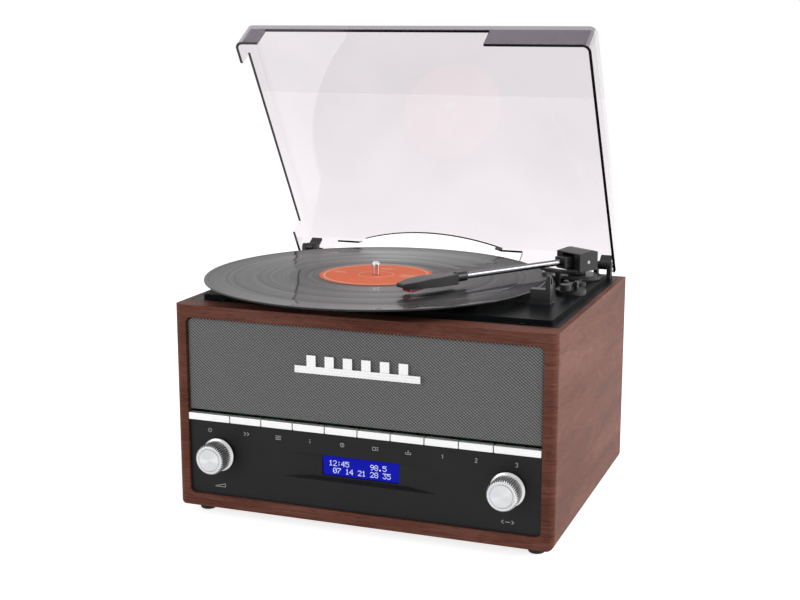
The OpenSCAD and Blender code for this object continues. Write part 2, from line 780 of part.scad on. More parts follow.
module spindle() color(silver) placed() translate([spindle_x, spindle_y, 0]) {
    translate([0, 0, deck_low - bearing_l + seat_gap])
        cylinder(r = journal_r, h = skirt_z - deck_low + bearing_l);
    translate([0, 0, skirt_z]) cylinder(r = waist_r, h = free_z - skirt_z + eps);
    translate([0, 0, free_z]) cylinder(r = spindle_r, h = taper_z - free_z);
    translate([0, 0, taper_z]) cylinder(r1 = spindle_r, r2 = taper_r, h = taper_h);
}

module platter() color(silver) placed() translate([spindle_x, spindle_y, 0]) difference() {
    union() {
        translate([0, 0, platter_z]) cylinder(r = platter_r, h = platter_t, $fn = 96);
        translate([0, 0, skirt_z]) difference() {
            cylinder(r = belt_rim_r, h = platter_z - skirt_z + eps, $fn = 96);
            translate([0, 0, -eps]) cylinder(r = belt_rim_r - rim_t, h = platter_z - skirt_z + eps, $fn = 96);
        }
        translate([0, 0, skirt_z]) cylinder(r = hub_r, h = platter_z - skirt_z + eps);
    }
    translate([0, 0, skirt_z - eps]) cylinder(r = waist_r, h = platter_z + platter_t - skirt_z + 2*eps);
}

module platter_mat() color(black) placed() translate([spindle_x, spindle_y, mat_z]) difference() {
    cylinder(r = platter_r - 1, h = mat_t, $fn = 96);
    translate([0, 0, -eps]) cylinder(r = spindle_r + seat_gap, h = mat_t + 2*eps);
}

module vinyl_record() color("#101112") placed() translate([spindle_x, spindle_y, record_z]) difference() {
    cylinder(r = record_r, h = record_t, $fn = 96);
    translate([0, 0, -eps]) cylinder(r = spindle_r + running, h = record_t + 2*eps);
}

module record_label() color("#f0703c") placed() translate([spindle_x, spindle_y, record_top]) difference() {
    cylinder(r = label_r, h = label_t, $fn = 96);
    translate([0, 0, -eps]) cylinder(r = spindle_r + running, h = label_t + 2*eps);
}

module drive_motor() color(grey) placed() translate([motor_x, motor_y, deck_low - motor_l]) difference() {
    cylinder(r = motor_r, h = motor_l);
    translate([0, 0, motor_seat]) cylinder(r = motor_shaft_r + running, h = motor_l);
}

module motor_pulley() color("#b59a4c") placed() translate([motor_x, motor_y, 0]) {
    translate([0, 0, deck_low - motor_l + motor_seat + seat_gap])
        cylinder(r = motor_shaft_r, h = skirt_z - deck_low + motor_l - motor_seat);
    translate([0, 0, skirt_z]) cylinder(r = pulley_r, h = platter_z - skirt_z - seat_gap);
}

// The belt's outline round the rim and the pulley, grown by g
module belt_outline(g) hull() {
    translate([spindle_x, spindle_y]) circle(belt_rim_r + g, $fn = 96);
    translate([motor_x, motor_y]) circle(pulley_r + g, $fn = 32);
}

module drive_belt() color(black) placed() translate([0, 0, skirt_z + 0.6]) linear_extrude(belt_h)
    difference() {
        belt_outline(belt_gap + belt_t);
        belt_outline(belt_gap);
    }

module at_arm() translate([arm_x, arm_y, 0]) rotate([0, 0, -play_angle]) children();

module tonearm_base() color(black) placed() translate([arm_x, arm_y, deck_z]) difference() {
    union() {
        cylinder(r = arm_disc_r, h = arm_disc_t - 1);
        cylinder(r = arm_disc_r - 4, h = arm_disc_t);
    }
    translate([0, 0, -eps]) cylinder(r = column_r + running, h = arm_disc_t + 2*eps);
}

// The yoke's roof rises to a ridge across the arm
module tonearm_yoke() color(dark) placed() at_arm() {
    difference() {
        translate([-yoke_w/2, 0, 0]) rotate([90, 0, 90]) linear_extrude(yoke_w)
            polygon([[-yoke_l/2, yoke_low], [yoke_l/2, yoke_low], [yoke_l/2, yoke_top - 1.5],
                [yoke_l/2 - 5, yoke_top], [2, yoke_top], [-yoke_l/2, yoke_side]]);
        block([-slot_w/2, -yoke_l, yoke_slot_low], [slot_w/2, yoke_l/2 - yoke_back_t, yoke_slot_high]);
        translate([0, 0, arm_z]) bar_x(pivot_r + running, -yoke_w/2 - eps, yoke_w/2 + eps);
    }
    translate([0, 0, disc_top + seat_gap]) cylinder(r = yoke_post_r, h = yoke_low - disc_top - seat_gap);
    translate([0, 0, column_low]) cylinder(r = column_r, h = disc_top + seat_gap - column_low);
}

module arm_pivot_pin() color(silver) placed() at_arm() translate([0, 0, arm_z])
    bar_x(pivot_r, -yoke_w/2, yoke_w/2);

// Tube, pivot block and the collar that clamps the headshell
module tonearm_tube() color(silver) placed() at_arm() translate([0, 0, arm_z]) difference() {
    union() {
        bar_y(tube_r, -shell_back, -block_l + eps);
        block([-block_w/2, -block_l, -block_h/2], [block_w/2, block_back, block_h/2]);
        bar_y(collar_r, -shell_back, -shell_back + collar_l);
    }
    bar_x(pivot_r, -yoke_w, yoke_w);
}

// Side outline of the headshell, as distances along the arm and heights
module shell_side() polygon([[-shell_back, shell_low], [-shell_back, shell_high],
    [-shell_back - shell_l*0.55, shell_high], [-arm_l + 1, shell_tip_high], [-arm_l, shell_tip_high - 1],
    [-arm_l, shell_tip_low + 1.5], [-arm_l + 4, shell_tip_low]]);

module shell_plan(grow) polygon([[-collar_r - 1 - grow, -shell_back], [collar_r + 1 + grow, -shell_back],
    [shell_w/2 + grow, -shell_back - shell_l*0.4], [shell_w/2 + grow, -arm_l + 14],
    [shell_w/2 - 4 + grow, -arm_l], [-shell_w/2 + 4 - grow, -arm_l],
    [-shell_w/2 - grow, -arm_l + 14], [-shell_w/2 - grow, -shell_back - shell_l*0.4]]);

module headshell() color(black) placed() at_arm() difference() {
    intersection() {
        translate([-shell_w/2, 0, 0]) rotate([90, 0, 90]) linear_extrude(shell_w) shell_side();
        translate([0, 0, shell_low - 5]) linear_extrude(20) shell_plan(0);
    }
    translate([0, 0, shell_low - 5]) linear_extrude(shell_roof - shell_low + 5) intersection() {
        shell_plan(-shell_wall);
        translate([-shell_w/2, -arm_l + shell_wall]) square([shell_w, shell_l - 14]);
    }
}

module cartridge() color("#b00c10") placed() at_arm() {
    translate([-cartridge_w/2, 0, 0]) rotate([90, 0, 90]) linear_extrude(cartridge_w)
        polygon([[-arm_l + cartridge_tip, shell_roof], [-arm_l + cartridge_l, shell_roof],
            [-arm_l + cartridge_l, record_top + 2.8], [-arm_l + stylus_back, record_top + 1.2],
            [-arm_l + cartridge_tip, record_top + 1.8]]);
    translate([0, -arm_l + stylus_back, record_top + 0.4]) cylinder(r1 = 0.2, r2 = 0.9, h = 1.4);
}

// The arm rest: a post with a low inner prong and a tall outer prong
module arm_rest() color(black) placed() translate([rest_x, rest_y, 0]) difference() {
    union() {
        block([-rest_w/2, -rest_t/2, deck_z], [rest_w/2, rest_t/2, notch_z]);
        block([rest_w/2 - prong_w, -rest_t/2, notch_z - eps], [rest_w/2, rest_t/2, z_top + rest_h]);
        block([-rest_w/2 - 1, -rest_t/2 - 1, deck_z], [rest_w/2 + 1, rest_t/2 + 1, deck_z + 2]);
    }
    translate([rest_w/2 - prong_w - eps, -rest_t/4, z_top + rest_h - 5]) cube([prong_w + 2*eps, rest_t/2, 6]);
    translate([rest_w/2 - prong_w/2, 0, z_top + rest_h - 2]) bar_y(clip_pin_r + running, -rest_t, rest_t);
}

// The clip stands up open; it folds inwards over the parked tube
module arm_clip() color(dark) placed()
    translate([rest_x + rest_w/2 - prong_w/2, rest_y, z_top + rest_h - 2]) {
    bar_y(clip_pin_r, -rest_t/2, rest_t/2);
    block([-1.2, -rest_t/4 + clear, -1.2], [1.2, rest_t/4 - clear, 4.5]);
}

// A low round platform with two ears that carry the cue lever's pin
module cue_base() color(black) placed() translate([cue_x, cue_y, 0]) difference() {
    union() {
        translate([0, 0, deck_z]) cylinder(r = cue_r - 1, h = 4);
        for (x = [-1, 1]) translate([x*(cue_ear_x + cue_ear_t/2), 0, deck_z + 4])
            block([-cue_ear_t/2, -3, -eps], [cue_ear_t/2, 3, cue_z + 3 - deck_z - 4]);
    }
    translate([0, 0, cue_z]) bar_x(cue_pin_r + running, -cue_r, cue_r);
}

module cue_lever() color(dark) placed() translate([cue_x, cue_y, cue_z]) {
    bar_x(cue_pin_r, -cue_ear_x - cue_ear_t, cue_ear_x + cue_ear_t);
    block([-cue_ear_x + clear, -cue_lever_l, -1.5], [cue_ear_x - clear, 3, 1.5]);
    translate([0, -cue_lever_l, -1.5]) cylinder(r = 4.5, h = 5);
}

module lift_bar() color(dark) placed() translate([arm_x, arm_y, 0]) {
    translate([0, 0, lift_low]) rotate([0, 0, -90 - lift_turn - lift_span])
        rotate_extrude(angle = 2*lift_span) translate([lift_r - lift_w/2, 0]) square([lift_w, lift_t]);
    rotate([0, 0, -lift_turn]) translate([0, -lift_r, deck_low - 8])
        cylinder(r = lift_rod_r, h = lift_low - deck_low + 8 + eps);
}

module speed_selector() color(dark) placed() translate([cue_x, speed_y, 0]) {
    translate([0, 0, deck_low]) cylinder(r = speed_shaft_r, h = deck_z + 1 - deck_low);
    translate([0, 0, deck_z + seat_gap]) {
        cylinder(r = speed_r, h = 4);
        block([-1.2, -speed_r - 3, 0], [1.2, speed_r, 6]);
    }
}

// Turns what is drawn closed to the open angle about the hinge pins
module opened() translate([0, pin_y, pin_z]) rotate([-cover_angle, 0, 0]) translate([0, -pin_y, -pin_z])
    children();

module cover_plan(grow) translate([0, (front_y + cover_back)/2])
    round_rect(cover_w + 2*grow, cover_d + 2*grow, cover_r + grow);

module dust_cover() color("#a8a2a8", 0.45) placed() opened() difference() {
    translate([0, 0, cover_rim]) linear_extrude(cover_wall) cover_plan(0);
    translate([0, 0, cover_rim - eps]) linear_extrude(cover_wall - cover_t + eps) cover_plan(-cover_t);
    // Walls are low where the record passes under them
    block([-cover_w/2 + corner_wall, front_y - eps, cover_rim - eps],
        [spindle_x + record_r*0.66, front_y + cover_t + eps, cover_top - cover_lip - cover_t]);
    block([-cover_w, front_y + corner_wall, cover_rim - eps],
        [-cover_w/2 + cover_t + eps, pin_y - corner_wall, cover_low_z]);
    block([spindle_x - rear_notch/2, cover_back - cover_t - eps, cover_rim - eps],
        [spindle_x + rear_notch/2, cover_back + eps, cover_top - rear_lip]);
    // A shallow arc is cut out of the back edge behind the record
    translate([spindle_x, cover_back - arc_in + arc_r, cover_rim - eps])
        cylinder(r = arc_r, h = cover_wall + 2*eps, $fn = 192);
    for (x = [-1, 1]) translate([x*hinge_x, 0, 0])
        block([-hinge_w/2 - 2, cover_back - cover_t - 1, cover_rim - eps],
            [hinge_w/2 + 2, cover_back + 1, pin_z + knuckle_r + 1]);
}

// Leaves on the inner face of the cover's rear wall, each with a knuckle on the pin
module hinge_leaves() color(black) placed() opened() for (x = [-1, 1]) translate([x*hinge_x, 0, 0])
    difference() {
        union() {
            translate([0, pin_y, pin_z]) bar_x(knuckle_r, -hinge_w/4 + clear, hinge_w/4 - clear);
            block([-hinge_w/4 + clear, cover_back - cover_t - leaf_t, pin_z],
                [hinge_w/4 - clear, cover_back - cover_t, leaf_z + eps]);
            block([-hinge_w/3, cover_back - cover_t - leaf_t, leaf_z],
                [hinge_w/3, cover_back - cover_t, leaf_high]);
        }
        translate([0, pin_y, pin_z]) bar_x(pin_r + running, -hinge_w, hinge_w);
    }

// A hinge foot on the deck's flange: two ears and the pin through them
module hinge(side) color(black) placed() translate([side*hinge_x, 0, 0]) {
    block([-hinge_w/2, pin_y - 6, z_top], [hinge_w/2, pin_y + 4, z_top + hinge_foot_t]);
    for (x = [-1, 1]) translate([x*(hinge_w*3/8), 0, 0]) {
        block([-hinge_w/8, pin_y - 3.5, z_top + hinge_foot_t - eps], [hinge_w/8, pin_y + 3.5, pin_z]);
        translate([0, pin_y, pin_z]) bar_x(3.5, -hinge_w/8, hinge_w/8);
    }
    translate([0, pin_y, pin_z]) bar_x(pin_r, -hinge_w/2, hinge_w/2);
}

cabinet_shell();
base_panel();
rear_panel();
case_screws();
feet();
front_baffle();
speaker_grille();
badge_bar();
fascia();
display_window();
display_module();
control_board();
key_switches();
encoder(-1);  // volume_encoder
encoder(1);  // tune_encoder
volume_knob();
tune_shaft();
tune_knob();
key(0);  // key_01
key(1);  // key_02
key(2);  // key_03
key(3);  // key_04
key(4);  // key_05
key(5);  // key_06
key(6);  // key_07
key(7);  // key_08
key(8);  // key_09
key(9);  // key_10
driver(-1);  // driver_left
driver(1);  // driver_right
driver_cones();
main_board();
power_supply();
rear_sockets();
deck_plate();
spindle_bearing();
spindle();
platter();
platter_mat();
vinyl_record();
record_label();
drive_motor();
motor_pulley();
drive_belt();
tonearm_base();
tonearm_yoke();
arm_pivot_pin();
tonearm_tube();
headshell();
cartridge();
arm_rest();
arm_clip();
cue_base();
cue_lever();
lift_bar();
speed_selector();
dust_cover();
hinge_leaves();
hinge(-1);  // hinge_left
hinge(1);  // hinge_right
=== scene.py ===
"""Looks of the stereo music centre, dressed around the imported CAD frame.

Lengths in this file are millimetres in the cabinet's own coordinates, which are those of the CAD source:
x runs to the right, y to the back and z up from the table. The function place turns them into the row frame.
"""
import json
import logging
import math
from dataclasses import dataclass, field
from enum import Enum
from typing import Callable, Sequence

import bmesh
import bpy
import numpy as np
from mathutils import Matrix, Vector

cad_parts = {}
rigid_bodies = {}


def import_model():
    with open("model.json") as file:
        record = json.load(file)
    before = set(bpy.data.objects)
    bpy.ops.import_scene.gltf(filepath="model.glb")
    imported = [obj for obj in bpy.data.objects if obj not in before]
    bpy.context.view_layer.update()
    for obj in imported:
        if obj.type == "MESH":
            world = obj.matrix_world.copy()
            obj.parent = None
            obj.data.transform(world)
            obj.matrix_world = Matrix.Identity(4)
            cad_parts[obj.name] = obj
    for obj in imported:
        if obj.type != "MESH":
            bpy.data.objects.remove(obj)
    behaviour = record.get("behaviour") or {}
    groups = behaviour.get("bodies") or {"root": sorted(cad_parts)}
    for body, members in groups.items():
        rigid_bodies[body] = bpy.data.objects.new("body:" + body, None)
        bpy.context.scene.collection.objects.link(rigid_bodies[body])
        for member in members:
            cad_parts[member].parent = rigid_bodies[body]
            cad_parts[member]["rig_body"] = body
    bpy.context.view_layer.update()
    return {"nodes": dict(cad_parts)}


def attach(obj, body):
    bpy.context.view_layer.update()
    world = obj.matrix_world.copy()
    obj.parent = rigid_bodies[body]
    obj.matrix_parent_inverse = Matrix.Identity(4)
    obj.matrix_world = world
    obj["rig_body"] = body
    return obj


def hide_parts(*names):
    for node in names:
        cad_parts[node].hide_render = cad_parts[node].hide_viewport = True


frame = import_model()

MM = 0.001
ORIGIN_SHIFT = Vector((7.75, 7.0, 0.0))

log = logging.getLogger("music_centre")

Point = Sequence[float]
Colour = tuple[float, float, float, float]
Spread = Callable[[float, float, float], Point]
Tree = bpy.types.NodeTree
Socket = bpy.types.NodeSocket


def place(x: float, y: float, z: float) -> Vector:
    """Turns cabinet millimetres into a point of the row frame.

    Args:
        x: distance to the right of the cabinet's middle.
        y: distance behind the cabinet's middle.
        z: height over the table.

    Returns:
        The point in metres.
    """
    return (Vector((x, y, z)) + ORIGIN_SHIFT) * MM


def linear(code: str, alpha: float = 1.0) -> Colour:
    """Turns an sRGB hex colour into the linear colour that the shaders take.

    Args:
        code: the colour as six hex digits after a hash.
        alpha: the fourth channel.

    Returns:
        Red, green, blue and alpha.
    """
    levels = [int(code[i:i + 2], 16) / 255 for i in (1, 3, 5)]
    red, green, blue = (v / 12.92 if v <= 0.04045 else ((v + 0.055) / 1.055) ** 2.4 for v in levels)
    return (red, green, blue, alpha)


def add_node(tree: Tree, kind: str, feeds: dict | None = None, **settings: object) -> bpy.types.Node:
    """Adds one node to a tree.

    Args:
        tree: the material's or world's node tree.
        kind: the node's type name.
        feeds: an input's name or number against the value or output socket that it takes.
        settings: the node's own properties.

    Returns:
        The new node.
    """
    node = tree.nodes.new(kind)
    for name, value in settings.items():
        setattr(node, name, value)
    for name, value in (feeds or {}).items():
        if isinstance(value, Socket):
            tree.links.new(value, node.inputs[name])
        else:
            node.inputs[name].default_value = value
    return node


def ramp(node: bpy.types.Node, stops: Sequence[tuple[float, str]]) -> Socket:
    """Sets the stops of a colour ramp.

    Args:
        node: the colour ramp node.
        stops: each stop's place from 0 to 1 and its hex colour.

    Returns:
        The ramp's colour output.
    """
    band = node.color_ramp
    while len(band.elements) < len(stops):
        band.elements.new(0.5)
    for element, (where, code) in zip(band.elements, stops):
        element.position = where
        element.color = linear(code)
    return node.outputs["Color"]


# Finishes

NOISE_SPAN = (0.3, 0.7)


def between(pattern: Socket, low: float, high: float, span: tuple[float, float] = NOISE_SPAN) -> dict:
    """Says what a map range node takes to stretch a pattern between two values.

    Args:
        pattern: the pattern.
        low: the result where the pattern is lowest.
        high: the result where the pattern is highest.
        span: the pattern's own lowest and highest value. A noise texture keeps mostly within the usual one.

    Returns:
        The node's inputs.
    """
    return {"Value": pattern, "From Min": span[0], "From Max": span[1], "To Min": low, "To Max": high}


def shaded(tree: Tree, colour: str, pattern: Socket, low: float, high: float,
           span: tuple[float, float] = NOISE_SPAN) -> Socket:
    """Makes a colour darker and lighter by a pattern.

    Args:
        tree: the material's node tree.
        colour: the colour as six hex digits after a hash.
        pattern: the pattern.
        low: what the colour is multiplied by where the pattern is lowest.
        high: what the colour is multiplied by where the pattern is highest.
        span: the pattern's own lowest and highest value.

    Returns:
        The varied colour.
    """
    share = add_node(tree, "ShaderNodeMapRange", between(pattern, low, high, span))
    tone = add_node(tree, "ShaderNodeVectorMath",
                    {0: linear(colour)[:3], "Scale": share.outputs[0]}, operation="SCALE")
    return tone.outputs[0]


def turned_rings(tree: Tree, spot: Socket, centre: Point, pitch_mm: float) -> tuple[Socket, Socket]:
    """Draws rings about a point, as a lathe's tool marks and a record's groove have them.

    Args:
        tree: the material's node tree.
        spot: where a point of the surface is, in metres.
        centre: the rings' centre in cabinet millimetres.
        pitch_mm: how far apart the rings are.

    Returns:
        The distance from the centre, and a wave with one crest for each ring.
    """
    reach = add_node(tree, "ShaderNodeVectorMath", {0: spot, 1: tuple(place(*centre))}, operation="DISTANCE")
    turns = add_node(tree, "ShaderNodeMath",
                     {0: reach.outputs["Value"], 1: math.tau / (pitch_mm * MM)}, operation="MULTIPLY")
    wave = add_node(tree, "ShaderNodeMath", {0: turns.outputs[0]}, operation="SINE")
    return reach.outputs["Value"], wave.outputs[0]


@dataclass(frozen=True)
class Finish:
    """One real material and how its surface was made."""

    name: str

    def material(self) -> bpy.types.Material:
        """Makes the finish as a Blender material once, and then shares it.

        Returns:
            The material.
        """
        made = bpy.data.materials.get(self.name)
        if made is None:
            made = bpy.data.materials.new(self.name)
            made.use_nodes = True
            tree = made.node_tree
            tree.nodes.clear()
            spot = add_node(tree, "ShaderNodeTexCoord").outputs["Object"]
            add_node(tree, "ShaderNodeOutputMaterial", {"Surface": self.surface(tree, spot)})
        return made

    def surface(self, tree: Tree, spot: Socket) -> Socket:
        """Builds the shader.

        Args:
            tree: the material's node tree.
            spot: where a point of the surface is, in metres.

        Returns:
            The shader's output.
        """
        raise NotImplementedError


@dataclass(frozen=True)
class WalnutVeneer(Finish):
    """Sliced walnut veneer under satin lacquer, its grain lying level all round the cabinet.

    The eye sees slow red-brown figure 26 mm across, fine streaks, short dark pores and a soft sheen.
    """

    dark: str = "#623a30"
    middle: str = "#774a3d"
    light: str = "#8a5c50"
    knots: tuple[tuple[float, float, float], ...] = ()
    knot_mm: float = 1.6
    knot_shade: float = 0.22
    top_facing: float = 0.7
    figure_mm: float = 26.0
    stretch: float = 6.5
    ring_turns: float = 46.0
    ring_share: float = 0.022
    streak_mm: float = 1.6
    pore_mm: float = 0.75
    pore_shade: float = 0.62
    pore_deep_mm: float = 0.06
    specular: float = 0.05

    def lay_level(self, tree: Tree, spot: Socket) -> Socket:
        """Lays the grain level on upright faces, and from side to side on the top.

        Args:
            tree: the material's node tree.
            spot: where a point of the surface is, in metres.

        Returns:
            The place along and across the grain.
        """
        at = add_node(tree, "ShaderNodeSeparateXYZ", {0: spot})
        facing = add_node(tree, "ShaderNodeSeparateXYZ", {0: spot.node.outputs["Normal"]})
        upward = add_node(tree, "ShaderNodeMath", {0: facing.outputs["Z"]}, operation="ABSOLUTE")
        on_top = add_node(tree, "ShaderNodeMath", {0: upward.outputs[0], 1: self.top_facing},
                          operation="GREATER_THAN")
        upright = add_node(tree, "ShaderNodeMath", {0: 1.0, 1: on_top.outputs[0]}, operation="SUBTRACT")
        round_y = add_node(tree, "ShaderNodeMath", {0: at.outputs["Y"], 1: upright.outputs[0]},
                           operation="MULTIPLY")
        along = add_node(tree, "ShaderNodeMath", {0: at.outputs["X"], 1: round_y.outputs[0]}, operation="ADD")
        over_y = add_node(tree, "ShaderNodeMath", {0: at.outputs["Y"], 1: on_top.outputs[0]},
                          operation="MULTIPLY")
        across = add_node(tree, "ShaderNodeMath", {0: at.outputs["Z"], 1: over_y.outputs[0]},
                          operation="SUBTRACT")
        flat = add_node(tree, "ShaderNodeCombineXYZ", {"X": along.outputs[0], "Y": across.outputs[0]})
        return flat.outputs[0]

    def surface(self, tree: Tree, spot: Socket) -> Socket:
        """Builds the shader.

        Args:
            tree: the material's node tree.
            spot: where a point of the surface is, in metres.

        Returns:
            The shader's output.
        """
        flat = self.lay_level(tree, spot)
        layers = {}
        for label, pitch, pull, detail, bend in (
            ("figure", self.figure_mm, self.stretch, 3.0, 0.35),
            ("streak", self.streak_mm, 42.0, 4.0, 0.0),
            ("pore", self.pore_mm, 14.0, 1.0, 0.0),
        ):
            size = 1 / (pitch * MM)
            stretched = add_node(tree, "ShaderNodeVectorMath", {0: flat, 1: (size / pull, size, 1.0)},
                                 operation="MULTIPLY")
            layers[label] = add_node(tree, "ShaderNodeTexNoise",
                                     {"Vector": stretched.outputs[0], "Scale": 1.0, "Detail": detail,
                                      "Roughness": 0.6, "Distortion": bend},
                                     noise_dimensions="2D").outputs["Fac"]
        # Growth rings are level lines of the slow figure, so they close into ovals as in flat-sawn veneer
        turns = add_node(tree, "ShaderNodeMath", {0: layers["figure"], 1: self.ring_turns},
                         operation="MULTIPLY")
        rings = add_node(tree, "ShaderNodeMath", {0: turns.outputs[0]}, operation="SINE")
        ring_share = add_node(tree, "ShaderNodeMath", {0: rings.outputs[0], 1: self.ring_share},
                              operation="MULTIPLY")
        mixed = add_node(tree, "ShaderNodeMath", {0: layers["figure"], 1: layers["streak"]}, operation="ADD")
        halved = add_node(tree, "ShaderNodeMath", {0: mixed.outputs[0], 1: 0.5, 2: ring_share.outputs[0]},
                          operation="MULTIPLY_ADD")
        tone = ramp(add_node(tree, "ShaderNodeValToRGB", {0: halved.outputs[0]}),
                    ((0.33, self.dark), (0.50, self.middle), (0.68, self.light)))
        pores = add_node(tree, "ShaderNodeMapRange",
                         between(layers["pore"], 1.0, self.pore_shade, (0.60, 0.70)))
        stained = add_node(tree, "ShaderNodeVectorMath", {0: tone, "Scale": pores.outputs[0]},
                           operation="SCALE")
        for knot in self.knots:
            reach = add_node(tree, "ShaderNodeVectorMath", {0: spot, 1: tuple(place(*knot))},
                             operation="DISTANCE")
            eye = add_node(tree, "ShaderNodeMapRange",
                           between(reach.outputs["Value"], self.knot_shade, 1.0,
                                   (0.4 * self.knot_mm * MM, self.knot_mm * MM)))
            stained = add_node(tree, "ShaderNodeVectorMath", {0: stained.outputs[0], "Scale": eye.outputs[0]},
                               operation="SCALE")
        rough = add_node(tree, "ShaderNodeMapRange", between(layers["streak"], 0.40, 0.52))
        relief = add_node(tree, "ShaderNodeBump",
                          {"Height": pores.outputs[0], "Strength": 0.25, "Distance": self.pore_deep_mm * MM})
        return add_node(tree, "ShaderNodeBsdfPrincipled",
                        {"Base Color": stained.outputs[0], "Roughness": rough.outputs[0],
                         "Normal": relief.outputs[0], "Specular IOR Level": self.specular}).outputs[0]


@dataclass(frozen=True)
class Moulded(Finish):
    """Injection-moulded plastic or rubber with a spark-eroded grain.

    The eye sees an even colour that drifts a little over each part, and a fine grain that breaks the sheen.
    """

    colour: str
    roughness: float = 0.4
    grain_mm: float = 0.6
    relief_mm: float = 0.02
    drift: float = 0.14
    drift_mm: float = 28.0
    specular: float = 0.5

    def surface(self, tree: Tree, spot: Socket) -> Socket:
        """Builds the shader.

        Args:
            tree: the material's node tree.
            spot: where a point of the surface is, in metres.

        Returns:
            The shader's output.
        """
        slow = add_node(tree, "ShaderNodeTexNoise",
                        {"Vector": spot, "Scale": 1 / (self.drift_mm * MM), "Detail": 3.0}).outputs["Fac"]
        grain = add_node(tree, "ShaderNodeTexNoise",
                         {"Vector": spot, "Scale": 1 / (self.grain_mm * MM), "Detail": 2.0}).outputs["Fac"]
        tone = shaded(tree, self.colour, slow, 1 - self.drift, 1 + self.drift)
        rough = add_node(tree, "ShaderNodeMapRange",
                         between(grain, self.roughness * 0.9, min(1.0, self.roughness * 1.12)))
        relief = add_node(tree, "ShaderNodeBump",
                          {"Height": grain, "Strength": 0.5, "Distance": self.relief_mm * MM})
        return add_node(tree, "ShaderNodeBsdfPrincipled",
                        {"Base Color": tone, "Roughness": rough.outputs[0],
                         "Specular IOR Level": self.specular, "Normal": relief.outputs[0]}).outputs[0]


class Lay(Enum):
    """Which way the fine tool marks of a metal run, as marks to the metre along x, y and z."""

    ALONG_X = (3000.0, 60.0, 3000.0)
    ALONG_Z = (3000.0, 3000.0, 60.0)
    CAST = (900.0, 900.0, 900.0)


@dataclass(frozen=True)
class Metal(Finish):
    """Plated, painted or bare metal with fine tool marks.

    The eye sees bright reflections drawn out along the marks, over a slightly uneven tone.
    """

    colour: str
    roughness: float = 0.25
    metallic: float = 1.0
    lay: Lay = Lay.CAST
    wear: float = 0.06
    relief_mm: float = 0.01

    def surface(self, tree: Tree, spot: Socket) -> Socket:
        """Builds the shader.

        Args:
            tree: the material's node tree.
            spot: where a point of the surface is, in metres.

        Returns:
            The shader's output.
        """
        drawn = add_node(tree, "ShaderNodeVectorMath", {0: spot, 1: self.lay.value}, operation="MULTIPLY")
        marks = add_node(tree, "ShaderNodeTexNoise",
                         {"Vector": drawn.outputs[0], "Scale": 1.0, "Detail": 2.0}).outputs["Fac"]
        tone = shaded(tree, self.colour, marks, 1 - self.wear, 1 + self.wear)
        rough = add_node(tree, "ShaderNodeMapRange",
                         between(marks, self.roughness * 0.8, self.roughness * 1.25))
        relief = add_node(tree, "ShaderNodeBump",
                          {"Height": marks, "Strength": 0.2, "Distance": self.relief_mm * MM})
        return add_node(tree, "ShaderNodeBsdfPrincipled",
                        {"Base Color": tone, "Metallic": self.metallic, "Roughness": rough.outputs[0],
                         "Normal": relief.outputs[0]}).outputs[0]


@dataclass(frozen=True)
class SpunAluminium(Finish):
    """Bright aluminium faced on a lathe, with circular tool marks about a level axis.

    The eye sees white and grey fans that meet at the middle of the face. The marks are drawn 0.8 mm apart,
    because real ones are too fine to show.
    """

    centre: tuple[float, float, float]
    colour: str = "#cfd0d2"
    pitch_mm: float = 0.8
    relief_mm: float = 0.02

    def surface(self, tree: Tree, spot: Socket) -> Socket:
        """Builds the shader.

        Args:
            tree: the material's node tree.
            spot: where a point of the surface is, in metres.

        Returns:
            The shader's output.
        """
        ring = turned_rings(tree, spot, self.centre, self.pitch_mm)[1]
        tone = shaded(tree, self.colour, ring, 0.8, 1.0, (-1.0, 1.0))
        relief = add_node(tree, "ShaderNodeBump",
                          {"Height": ring, "Strength": 0.12, "Distance": self.relief_mm * MM})
        circle = add_node(tree, "ShaderNodeTangent", direction_type="RADIAL", axis="Y")
        return add_node(tree, "ShaderNodeBsdfPrincipled",
                        {"Base Color": tone, "Metallic": 1.0, "Roughness": 0.28, "Anisotropic": 0.92,
                         "Normal": relief.outputs[0], "Tangent": circle.outputs[0]}).outputs[0]


@dataclass(frozen=True)
class KnurledAluminium(Finish):
    """Bright aluminium with straight knurling round a level axis.

    The eye sees light crowns, and the valleys between them are painted dark grey as shade.
    """

    centre: tuple[float, float, float]
    ribs: int
    crown: str = "#e3e3e4"
    # The valleys' colour is painted shade.
    valley_shade: str = "#4a4a4c"

    def surface(self, tree: Tree, spot: Socket) -> Socket:
        """Builds the shader.

        Args:
            tree: the material's node tree.
            spot: where a point of the surface is, in metres.

        Returns:
            The shader's output.
        """
        arm = add_node(tree, "ShaderNodeVectorMath", {0: spot, 1: tuple(place(*self.centre))},
                       operation="SUBTRACT")
        across = add_node(tree, "ShaderNodeSeparateXYZ", {"Vector": arm.outputs["Vector"]})
        angle = add_node(tree, "ShaderNodeMath", {0: across.outputs["Z"], 1: across.outputs["X"]},
                         operation="ARCTAN2")
        teeth = add_node(tree, "ShaderNodeMath", {0: angle.outputs[0], 1: float(self.ribs)},
                         operation="MULTIPLY")
        wave = add_node(tree, "ShaderNodeMath", {0: teeth.outputs[0]}, operation="COSINE")
        height = add_node(tree, "ShaderNodeMapRange", between(wave.outputs[0], 0.0, 1.0, (-0.6, 0.5)))
        # Painted shade: the colour darkens from the crowns into the valleys, following the knurl.
        tone = add_node(tree, "ShaderNodeMix",
                        {"Factor": height.outputs[0], "A": linear(self.valley_shade), "B": linear(self.crown)},
                        data_type="RGBA")
        return add_node(tree, "ShaderNodeBsdfPrincipled",
                        {"Base Color": tone.outputs["Result"], "Metallic": 0.75,
                         "Roughness": 0.36}).outputs[0]


